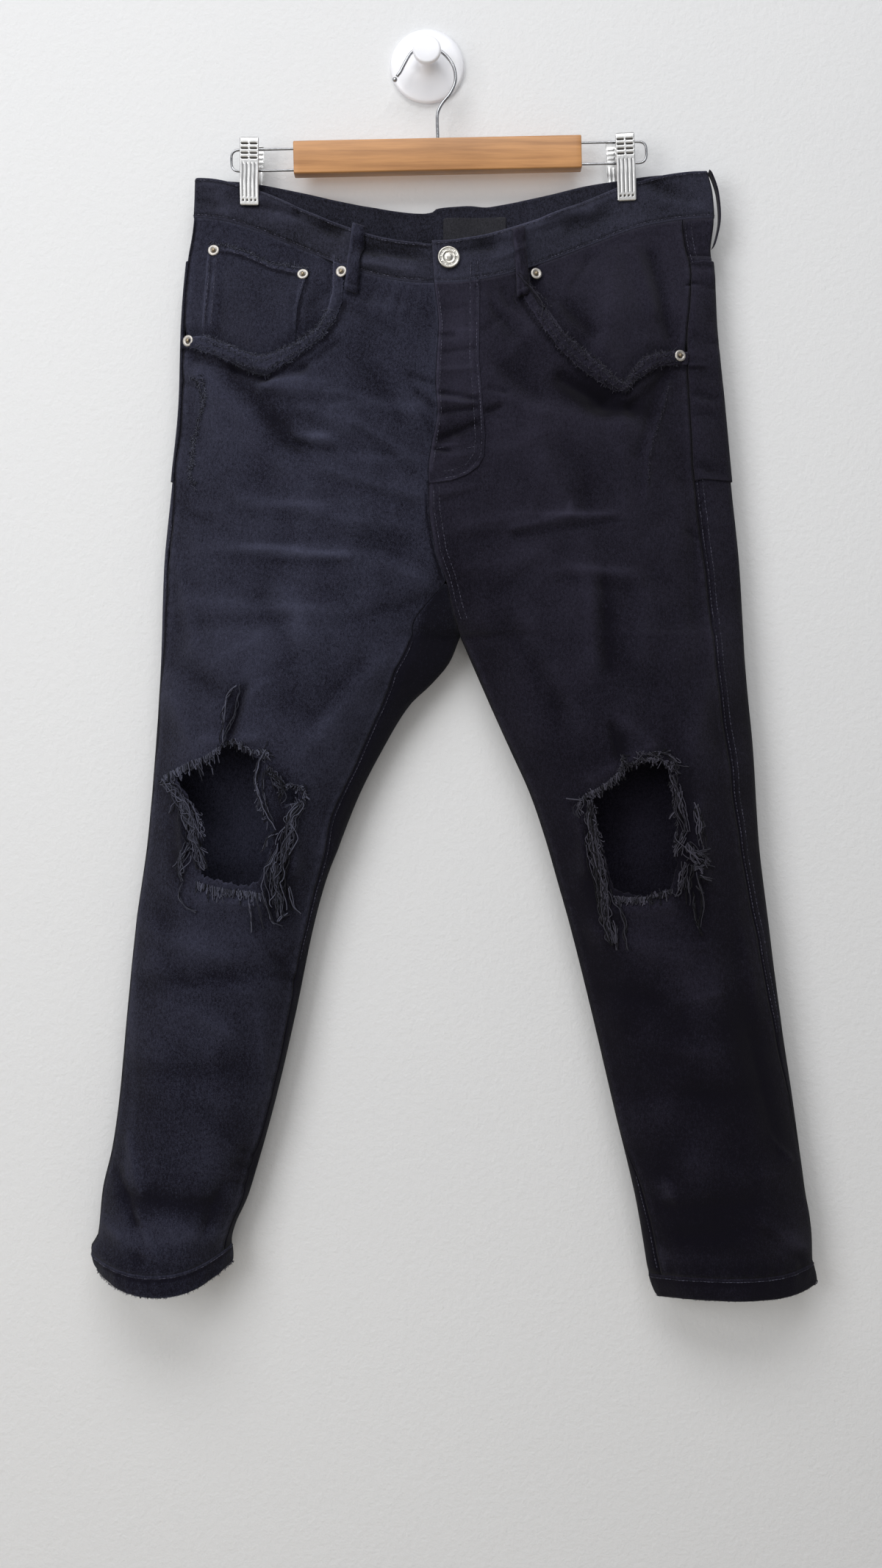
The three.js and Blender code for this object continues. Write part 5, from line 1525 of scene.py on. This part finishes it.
def edge_loops(rng, chain, into, length, closeness, droop):
    """Loops and ends that stand off a torn edge; into is the way off the edge at each point."""
    dense = resampled(chain, LOOP_PITCH / closeness)
    strands = []
    for n, start in enumerate(dense):
        long = length * rng.uniform(0.45, 1.25)
        away = into[min(n, len(into) - 1)] if np.ndim(into) > 1 else np.asarray(into, float)
        heading = unit(away + np.array([0, droop]) + rng.normal(0, 0.28, 2))
        end = start + rng.normal(0, LOOP_SPREAD, 2)
        if rng.random() < 0.3:
            end = start + heading * long * 1.1 + rng.normal(0, 1, 2)
        begin = start - 0.2 * long * heading
        t = np.linspace(0, 1, 9)[:, None]
        first = begin + heading * long * 1.35 + rng.normal(0, 0.8, 2)
        second = end + heading * long * 1.2 + rng.normal(0, 0.8, 2)
        place = ((1 - t) ** 3 * begin + 3 * (1 - t) ** 2 * t * first + 3 * (1 - t) * t * t * second
                 + t ** 3 * end)
        lift = LOOP_LIFT + rng.uniform(0, 1.6) * np.sin(math.pi * t[:, 0]) + rng.uniform(0, 0.5)
        strands.append((place, lift))
    return strands


def fuzz(rng, chain, closeness, length, out):
    """Short hairs off a worn edge."""
    strands = []
    for start in resampled(chain, HAIR_PITCH / closeness):
        start = start + rng.normal(0, 0.5, 2)
        heading = rng.normal(0, 1, 2)
        heading /= np.linalg.norm(heading) + 1e-6
        bend = rng.normal(0, 0.5, 2)
        t = np.linspace(0, 1, 4)[:, None]
        place = start + heading * t * length * rng.uniform(0.4, 1.2) + bend * t * t * length
        lift = out + rng.uniform(0.0, 0.7) * np.sin(t[:, 0] * 2.2)
        strands.append((place, lift))
    return strands


# Torn edges over the knees: chain, the way off the edge, length, closeness, droop
TORN_EDGES = {
    "left": [
        ([(-238, 662), (-226, 657), (-212, 650), (-198, 645), (-186, 637)], (0.2, 1.0), 6.5, 2.0, 0.3),
        ([(-186, 637), (-180, 632), (-172, 629)], (0.5, 1.0), 3.0, 2.0, 0.2),
        ([(-174, 629), (-166, 634), (-156, 639), (-148, 640), (-143, 643)], (0.2, 0.6), 4.5, 2.2, 0.3),
        ([(-146, 638), (-143, 641), (-145, 646)], (0.3, 0.2), 5.0, 3.0, 0.0),
        ([(-206, 757), (-196, 760), (-184, 763), (-170, 765), (-158, 766), (-148, 768)],
         (0.0, 1.0), 6.5, 2.2, 0.4),
        ([(-132, 671), (-124, 669), (-116, 670), (-110, 674), (-109, 681), (-114, 686), (-122, 687)],
         (0.0, 0.3), 4.2, 2.6, 0.1),
        ([(-141, 654), (-134, 660), (-128, 668)], (0.2, 0.8), 6.0, 2.6, 0.2),
        ([(-201, 716), (-204, 700), (-213, 684)], (0.6, 0.5), 3.5, 1.2, 0.3),
        ([(-151, 650), (-151, 678), (-142, 704)], (-0.5, 0.5), 3.5, 1.0, 0.4),
    ],
    "right": [
        ([(137, 684), (144, 678), (152, 674), (160, 669), (168, 662), (175, 655)], (0.35, 1.0), 5.5,
         3.0, 0.0),
        ([(172, 655), (175, 649), (175, 643)], (0.4, 0.6), 4.0, 3.0, 0.0),
        ([(178, 652), (188, 648), (198, 646), (208, 647), (216, 652), (224, 658)], (0.0, 0.4), 4.5,
         3.0, 0.0),
        ([(190, 644), (206, 640), (220, 645), (224, 652)], (0.2, 0.2), 5.0, 1.6, 0.0),
        ([(168, 770), (180, 771), (194, 771), (208, 767), (220, 763)], (0.0, 0.5), 4.8, 3.0, 0.3),
        ([(218, 659), (220, 680), (224, 704), (222, 727)], (-0.5, 0.6), 3.2, 1.0, 0.4),
        ([(151, 690), (151, 701), (158, 733)], (0.6, 0.4), 3.0, 1.0, 0.3),
        ([(236, 728), (245, 730), (249, 737), (244, 744), (236, 742)], (0.4, 0.2), 6.0, 2.6, 0.0),
    ],
}


def band_middle(side, share):
    """A line along the pocket band, between its two edges."""
    ends = []
    for chain in (SCOOP[side]["edge"][:-1], SCOOP[side]["band"][:-1]):
        dense = resampled(chain, 0.5)
        ends.append(dense[np.linspace(0, len(dense) - 1, 160).astype(int)])
    return mix(*ends, share)[45:]


# Fuzz on worn edges: chain, closeness, length, height over the cloth
FUZZY = {
    "left": [
        (band_middle("left", 0.3), 4.0, 1.3, 2.7), (band_middle("left", 0.75), 4.0, 1.2, 2.6),
        (SCOOP["left"]["edge"][2:-1], 6.0, 2.2, 1.6), (SCOOP["left"]["band"][2:-1], 3.0, 2.0, 1.0),
        ([(-199, 174), (-170, 181), (-143, 193.5), (-109, 199)], 6.0, 2.6, 0.9),
        ([(-216, 297), (-207, 305), (-203, 322), (-207, 338), (-211, 356), (-214, 372), (-216, 384),
          (-211, 400)], 6.0, 2.4, 0.3),
        ([(-203, 298), (-200, 318), (-203, 330)], 6.0, 2.0, 0.3),
        ([(-214, 352), (-211, 372), (-214, 384)], 6.0, 2.4, 0.3),
    ],
    "right": [
        (band_middle("right", 0.3), 4.0, 1.3, 2.7), (band_middle("right", 0.75), 4.0, 1.2, 2.6),
        (SCOOP["right"]["edge"][3:-1], 6.0, 2.2, 1.6), (SCOOP["right"]["band"][2:-1], 3.0, 2.0, 1.0),
        ([(220, 306), (214, 330), (206, 352), (200, 372), (199, 400)], 2.6, 1.1, 0.2),
        ([(92, 214), (104, 228), (112, 240)], 1.2, 2.2, 1.4),
    ],
}
def laid(side, strands):
    """Strands, each of (x, down) points and their heights, laid on the front of one half."""
    places = np.concatenate([place for place, _ in strands])
    heights = np.concatenate([out for _, out in strands])
    paths = onto(side, "front", places[:, 0], places[:, 1], heights)[0]
    return np.split(paths, np.cumsum([len(place) for place, _ in strands])[:-1])


for side in ("left", "right"):
    rng = np.random.default_rng(21 if side == "left" else 22)
    strands, radii = [], []
    for spec in TASSELS[side]:
        made = tassel(rng, *spec)
        strands += made
        radii += [rng.uniform(0.34, 0.52) for _ in made]
    for spec in TORN_EDGES[side]:
        made = edge_loops(rng, *spec)
        strands += made
        radii += [rng.uniform(0.28, 0.42) for _ in made]
    if side == "right":
        for spine in LOOP_THREADS:
            place = smooth_path(spine, 8)
            strands.append((place, 3.4 + 3.4 * np.cos(np.linspace(0, 1.6, len(place)))))
            radii.append(0.34)
    obj = tube_piece(f"torn_threads_{WEARER[side]}", laid(side, strands), radii, THREAD[side],
                     f"front_panel_{WEARER[side]}", SLOT[side])
    JOINED["front", side]["with"].append(obj)
    strands = []
    for chain, closeness, length, out in FUZZY[side]:
        strands += fuzz(rng, chain, closeness, length, out)
    obj = tube_piece(f"worn_fuzz_{WEARER[side]}", laid(side, strands), [0.2] * len(strands),
                     THREAD[side], f"front_pocket_band_{WEARER[side]}", SLOT[side], sides=3,
                     cap=False)
    JOINED["band", side]["with"].append(obj)

    # short ends off the hem's lower edge
    count = 420 if side == "left" else 260
    q = np.sort(rng.uniform(0.02, 0.98, count))
    base, out = seam_q(side, q, np.full(count, HEM_END - 0.7), 0.4)
    away = unit(rng.normal(0, 0.7, (count, 3)) + np.array([0, 0, -1.0]) + 0.5 * out)
    bend = rng.normal(0, 0.35, (count, 3))
    long = rng.uniform(0.4, 1.5 if side == "left" else 0.9, count)
    t = np.linspace(0, 1, 5)[:, None]
    hairs = [b + a * t * s + c * t * t * s for b, a, c, s in zip(base, away, bend, long)]
    obj = tube_piece(f"hem_fray_{WEARER[side]}", hairs, [0.24] * count, THREAD[side],
                     f"hem_{WEARER[side]}", SLOT[side], sides=3, cap=False)
    JOINED["hem", side]["with"].append(obj)


# ------------------------------------------------------------------ button and rivets
def ring_faces(rings, size, closed=False):
    """Faces between rings of vertices, joined last to first or capped at both ends."""
    faces = []
    for n in range(rings if closed else rings - 1):
        a, b = n * size, (n + 1) % rings * size
        for m in range(size):
            k = (m + 1) % size
            faces.append((a + m, a + k, b + k, b + m))
    if not closed:
        faces.append(tuple(range(size))[::-1])
        faces.append(tuple((rings - 1) * size + m for m in range(size)))
    return faces


def turned_mesh(profile, segments, knurl=None):
    """Turned about the third axis from (radius, height) points.

    knurl: the radii it lies between, its height and its waves in a turn."""
    vertices = []
    for radius, height in profile:
        for m in range(segments):
            angle = 2 * math.pi * m / segments
            extra = 0
            if knurl and knurl[0] <= radius <= knurl[1]:
                wave = knurl[3] * angle
                extra = knurl[2] * max(0, math.sin(wave)) * max(0, math.sin(wave * 0.31))
            vertices.append((radius * math.cos(angle), radius * math.sin(angle), height + extra))
    return np.array(vertices), ring_faces(len(profile), segments)


def placed(vertices, at, axis):
    """Vertices turned so that their third axis lies along axis, and moved to a point."""
    axis = unit(np.asarray(axis, float))
    first = unit(np.cross(axis, np.array([1.0, 0, 0])))
    return at + vertices @ np.stack([first, np.cross(axis, first), axis])


def hardware(name, vertices, faces, material, node, slot):
    return stand_in(link(name, vertices, faces, material), slot, node)


def turned_piece(name, profile, segments, at, axis, material, node, slot, knurl=None):
    """A turned part that stands at a point, along an axis."""
    vertices, faces = turned_mesh(profile, segments, knurl)
    return hardware(name, placed(vertices, at, axis), faces, material, node, slot)


BUTTON = [(7, 0), (9.5, 0.7), (10, 1.6), (9.9, 2.4), (9.4, 3.1), (8.7, 3.3), (8.3, 3.1), (8.0, 2.8),
          (7.6, 2.75), (7.2, 2.75), (6.8, 2.75), (6.4, 2.75), (6.0, 2.8), (5.8, 3.05), (5.4, 3.1),
          (5.1, 2.9), (4.8, 2.6), (3.2, 2.5), (2.8, 2.9), (1.6, 3.1), (0.4, 3.15)]
at, axis = onto("right", "front", np.array([19.5]), np.array([198.0]), 1.0)
turned_piece("waist_button_piece", BUTTON, 96, at[0], axis[0], STUD, "waist_button", "stud_metal",
             (6.3, 7.7, 0.55, 30))
RIVET = [(5.2, 0), (5.3, 0.5), (5.0, 1.0), (4.3, 1.35), (3.4, 1.3), (2.7, 0.9), (2.2, 0.5),
         (0.2, 0.45)]
NUB_PROFILE = [(1.7, 0.3), (1.8, 1.2), (1.7, 1.9), (1.3, 2.4), (0.8, 2.6), (0.1, 2.65)]
RIVETS = [
    ("coin_outer", "left", -195, 181.5, 0.8), ("coin_inner", "left", -113, 205, 0.8),
    ("right_inner", "left", -76.5, 206, 2.2), ("right_outer", "left", -217, 265, 2.2),
    ("left_inner", "right", 98.5, 207, 2.2), ("left_outer", "right", 229, 281, 2.2),
]
for name, side, x, down, out in RIVETS:
    at, axis = onto(side, "front", np.array([x]), np.array([down]), out)
    for part, profile, segments, metal in (("disc", RIVET, 40, DULL), ("nub", NUB_PROFILE, 24, NUB)):
        turned_piece(f"rivet_{name}_{part}", profile, segments, at[0], axis[0], metal,
                     f"rivet_{name}", "stud_metal")

# ------------------------------------------------------------------ hanger
BAR = {"length": 264, "thick": 13, "tall": 30, "x": 9.6, "z": -92.3, "tilt": -0.021}
WIRE_GAP, REACH_OUT = 19.6, {"left": 57.5, "right": 60}


def turned_about_y(points, angle, at):
    x, y, z = np.asarray(points, float).T
    return np.stack([x * math.cos(angle) + z * math.sin(angle), y,
                     -x * math.sin(angle) + z * math.cos(angle)], -1) + np.asarray(at)


def on_bar(points):
    return turned_about_y(points, BAR["tilt"], (BAR["x"], HANGER_Y, BAR["z"]))


def rounded_rectangle(across, up, radius, steps):
    """Outline of a rectangle of half sizes across and up, with rounded corners."""
    outline = []
    for cy, cz, start in ((1, 1, 0), (-1, 1, 90), (-1, -1, 180), (1, -1, 270)):
        for n in range(steps + 1):
            angle = math.radians(start + 90 / steps * n)
            outline.append((cy * (across - radius) + radius * math.cos(angle),
                            cz * (up - radius) + radius * math.sin(angle)))
    return np.array(outline)


section = rounded_rectangle(BAR["thick"] / 2, BAR["tall"] / 2, 1.5, 5)
half = BAR["length"] / 2
stations = np.concatenate([[-half, -half + 0.25, -half + 0.8],
                           np.linspace(-half + 6, half - 6, 40), [half - 0.8, half - 0.25, half]])
vertices = []
for x in stations:
    shrink = edge_profile(half - abs(x), 0.8, 0.8)
    vertices += [(x, y * (1 - shrink / 6.5), z * (1 - shrink / 15)) for y, z in section]
hardware("wood_bar", on_bar(vertices), ring_faces(len(stations), len(section)), wood_material(),
         "hanger_bar", "wood")

for side, sign in (("left", -1), ("right", 1)):
    radius = WIRE_GAP / 2
    straight = REACH_OUT[side] - radius
    angles = np.linspace(0, math.pi, 41)
    square = (np.abs(np.sin(angles)) ** 3.2 + np.abs(np.cos(angles)) ** 3.2) ** (-1 / 3.2)
    bend = np.stack([sign * (half + straight + radius * square * np.sin(angles)), 0 * angles,
                     radius * square * np.cos(angles)], -1)
    run = np.linspace(-8, straight, 12)[:-1]
    top = np.stack([sign * (half + run), 0 * run, 0 * run + radius], -1)
    path = np.concatenate([top, bend, top[::-1] * np.array([1, 1, -1])])
    tube_piece(f"side_wire_{side}", [on_bar(path)], [1.15], WIRE_METAL, f"hanger_wire_{side}", "wire",
               sides=14)
HOOK_ROUTE = [(9.8, -88), (9.9, -76), (9.4, -62), (9.9, -52), (14, -43.5), (21.5, -34), (26, -22.5),
              (24.5, -10), (17.8, 0), (9, 6.4), (0, 8.3), (-8.5, 6.8), (-14.5, 3), (-18.5, -3),
              (-22, -9.5), (-24.5, -14.5), (-27.7, -18.5)]
path = smooth_path([(x, HANGER_Y, z) for x, z in HOOK_ROUTE], 8)
tube_piece("hook_wire", [path], [1.5], WIRE_METAL, "hanger_hook", "wire", sides=18)
ball = [(max(0.05, 2.3 * math.sin(a)), -2.3 * math.cos(a)) for a in np.linspace(0, math.pi, 17)]
turned_piece("hook_ball", ball, 24, np.array([-29.6, HANGER_Y, -21.6]), (-0.5, 0, -0.8),
             WIRE_METAL, "hanger_hook_tip", "wire")

# ------------------------------------------------------------------ clips
CLIP = {
    "left": {"x": -162, "top": 79.5, "lean": 0.01, "turn": -2.5},
    "right": {"x": 180.2, "top": 75.5, "lean": -0.05, "turn": 6.5},
}
CLIP_WIDTH, PLATE, CORNER, CLIP_STEP = 17.3, 0.9, 2.0, 0.5
CLIP_ROUTE = ((11.5, 0), (12.4, -3), (11.6, -24), (10.8, -40), (6.2, -59.5))
RIBS = (-5.6, -1.85, 1.85, 5.6)
SLOT_LEVELS, SLOT_CENTRES = (6.0, 10.3, 14.6, 18.9), (-4.1, 4.1)
STRIP = ((-4.4, 0), (-4.1, 0.45), (4.1, 0.45), (4.4, 0), (4.1, -0.45), (-4.1, -0.45))


def clip_plate(name, node, place, sign):
    """A pressed plate: slots near the top, ribs down to a dot each near the jaw."""
    route = smooth_path([(0, HANGER_Y + sign * y, z) for y, z in CLIP_ROUTE], 40)
    route = resampled(route, CLIP_STEP)
    n = len(route)
    along = unit(np.gradient(route, axis=0))
    outward = np.stack([np.zeros(n), sign * np.abs(along[:, 2]),
                        sign * along[:, 1] * np.sign(along[:, 2])], -1)
    u = np.linspace(-CLIP_WIDTH / 2, CLIP_WIDTH / 2, 43)
    t = np.arange(n) * CLIP_STEP
    total = t[-1]
    press = np.zeros((n, len(u)))
    # dark is painted shade in the pressed grooves, dots and slots; each slot is dark except along its
    # top edge
    dark = np.zeros((n, len(u)))
    U, T = np.meshgrid(u, t)
    for centre in RIBS:
        ridge = smooth((T - 22.5) / 2) * smooth((total - 6.4 - T) / 1.5)
        groove = bell(U - centre, 0.62) * ridge
        press -= 0.55 * groove
        dark = np.maximum(dark, 0.5 * groove)
        dot = np.hypot(U - centre, (T - (total - 4.3)) / 1.1)
        press -= 0.8 * np.exp(-(dot / 0.85) ** 4)
        dark = np.maximum(dark, np.exp(-(dot / 0.9) ** 4))
    for level in SLOT_LEVELS:
        for centre in SLOT_CENTRES:
            reach = np.sqrt(np.maximum(np.abs(U - centre) - 2.5, 0) ** 2 + (T - level) ** 2)
            pit = smooth((1.25 - reach) / 0.7)
            press -= 0.75 * pit
            dark = np.maximum(dark, pit * smooth((T - level + 1.6) / 1.4))
    dx = np.maximum(np.abs(U) - (CLIP_WIDTH / 2 - CORNER), 0)
    dt = np.maximum(np.abs(T - total / 2) - (total / 2 - CORNER), 0)
    keep = np.minimum(1, CORNER - np.hypot(dx, dt) + 0.01)
    roll = edge_profile(np.minimum(CLIP_WIDTH / 2 - np.abs(U), np.minimum(T, total - T)), 1.2, 0.55)
    height = press - roll
    base = route[:, None, :] + np.array([1.0, 0, 0]) * u[None, :, None]
    normals = outward[:, None, :] + np.zeros_like(base)
    outer = base + normals * (height - 0.1)[..., None]
    inner = base + normals * (np.minimum(height, 0) * 0.6 - PLATE)[..., None]
    arrays, polygons = clipped({"outer": outer, "inner": inner, "dark": dark[..., None]}, keep)
    vertices, everything, _, _ = thicken(arrays, polygons)
    at = (place["x"] - (place["turn"] if sign > 0 else 0), 0, -place["top"])
    obj = hardware(name, turned_about_y(vertices, place["lean"], at), everything, CLIP_STEEL, node,
                   "clip_steel")
    add_values(obj, "pit", np.concatenate([arrays["dark"][:, 0], 0 * arrays["dark"][:, 0]]))
    return obj


for side, place in CLIP.items():
    for name, sign in (("front", -1), ("back", 1)):
        clip_plate(f"plate_{side}_{name}", f"clip_{side}_{name}", place, sign)
    # strap spring round the wires: a rounded ring of flat strip
    wires = BAR["z"] - BAR["tilt"] * (place["x"] - BAR["x"]) + place["top"]
    ring = rounded_rectangle(9.1, 12.3, 4, 6)
    normals = unit(np.roll(ring, -1, axis=0) - np.roll(ring, 1, axis=0))
    normals = np.stack([normals[:, 1], -normals[:, 0]], -1)
    vertices = []
    for dx, dn in STRIP:
        vertices += [(dx, HANGER_Y + y, z + wires) for y, z in ring + normals * dn]
    at = (place["x"], 0, -place["top"])
    hardware(f"strap_{side}", turned_about_y(vertices, place["lean"], at),
             ring_faces(len(STRIP), len(ring), closed=True), CLIP_STEEL, f"clip_{side}_spring",
             "clip_steel")

# ------------------------------------------------------------------ wall hook
HOOK = [(34.3, 0), (34.4, 1.2), (34.2, 2.2), (33.6, 3.1), (32.6, 3.8), (28, 4.4), (22, 5.2),
        (17, 6.4), (13, 8.0), (10, 10.0), (8, 12.6), (6.9, 15.4), (6.5, 18), (6.5, 26), (6.9, 28.4),
        (8.2, 30.2), (10.4, 31.1), (12.0, 31.5), (12.7, 32.3), (12.9, 33.4), (12.8, 35.0),
        (12.4, 36.2), (11.6, 36.9), (10.6, 37.15), (5, 37.25), (0.5, 37.3)]
turned_piece("wall_hook_piece", HOOK, 96, np.zeros(3), (0, -1, 0), plastic_material(), "wall_hook",
             "hook_plastic")
declare_sheets()

# ------------------------------------------------------------------ camera, lights and backdrop
def lamp(name, size, power, place, target):
    data = bpy.data.lights.new(name, "AREA")
    data.shape = "RECTANGLE"
    data.size, data.size_y = size
    data.energy = power
    obj = bpy.data.objects.new(name, data)
    obj.location = place
    direction = np.array(target) - np.array(place)
    obj.rotation_euler = Vector(direction).to_track_quat("-Z", "Y").to_euler()
    bpy.context.scene.collection.objects.link(obj)
    return obj


def backdrop(name, corners, facing_only, dark, light):
    material, nodes, links, shader = node_tree(name)
    tone = mapped_noise(nodes, links, 1.2, detail=3)
    links.new(mix_colour(nodes, links, tone, dark, light), shader.inputs["Base Color"])
    set_inputs(shader, Roughness=0.9)
    bump(nodes, links, mapped_noise(nodes, links, 230, detail=4, rough=0.6), 0.3, 0.0025, shader)
    if facing_only:
        geometry = nodes.new("ShaderNodeNewGeometry")
        clear = nodes.new("ShaderNodeBsdfTransparent")
        choose = nodes.new("ShaderNodeMixShader")
        links.new(geometry.outputs["Backfacing"], choose.inputs[0])
        links.new(shader.outputs[0], choose.inputs[1])
        links.new(clear.outputs[0], choose.inputs[2])
        links.new(choose.outputs[0], nodes["Material Output"].inputs[0])
    mesh = bpy.data.meshes.new(name)
    mesh.from_pydata(corners, [], [(0, 1, 2, 3)])
    mesh.materials.append(material)
    obj = bpy.data.objects.new(name, mesh)
    bpy.context.scene.collection.objects.link(obj)
    obj.visible_shadow = not facing_only
    return obj


WALL_Y, FLOOR_Z, REACH = 0.002, -1.56, 6.0
backdrop("wall_backdrop", [(-REACH, WALL_Y, FLOOR_Z), (REACH, WALL_Y, FLOOR_Z),
                           (REACH, WALL_Y, 3.0), (-REACH, WALL_Y, 3.0)], True,
         srgb(216, 217, 219), srgb(226, 227, 228))
backdrop("floor", [(-REACH, -REACH, FLOOR_Z), (REACH, -REACH, FLOOR_Z),
                   (REACH, REACH, FLOOR_Z), (-REACH, REACH, FLOOR_Z)], False,
         srgb(158, 150, 136), srgb(170, 162, 148))

camera = bpy.data.objects.new("camera", bpy.data.cameras.new("camera"))
camera.location = (0.0128, -1.45, -0.669)
camera.rotation_euler = (math.pi / 2, 0, 0)
camera.data.lens = 35.67
camera.data.sensor_width = 36
bpy.context.scene.collection.objects.link(camera)
bpy.context.scene.camera = camera

lamp("ceiling", (2.6, 1.2), 45.5, (-0.35, -1.75, 1.55), (0, 0, -0.55))
lamp("window", (1.4, 1.6), 28.5, (-1.6, -2.2, -0.3), (0, 0, -0.8))
lamp("fill", (1.8, 1.6), 6.5, (0.3, -2.5, -0.8), (0.02, 0, -0.8))
lamp("behind", (2.0, 1.6), 30, (0.4, 2.2, 0.6), (0, 0, -0.6))
world = bpy.data.worlds.new("studio")
world.use_nodes = True
world.node_tree.nodes["Background"].inputs[0].default_value = (0.93, 0.95, 1.0, 1)
world.node_tree.nodes["Background"].inputs[1].default_value = 0.30
bpy.context.scene.world = world
bpy.context.scene.view_settings.view_transform = "Standard"
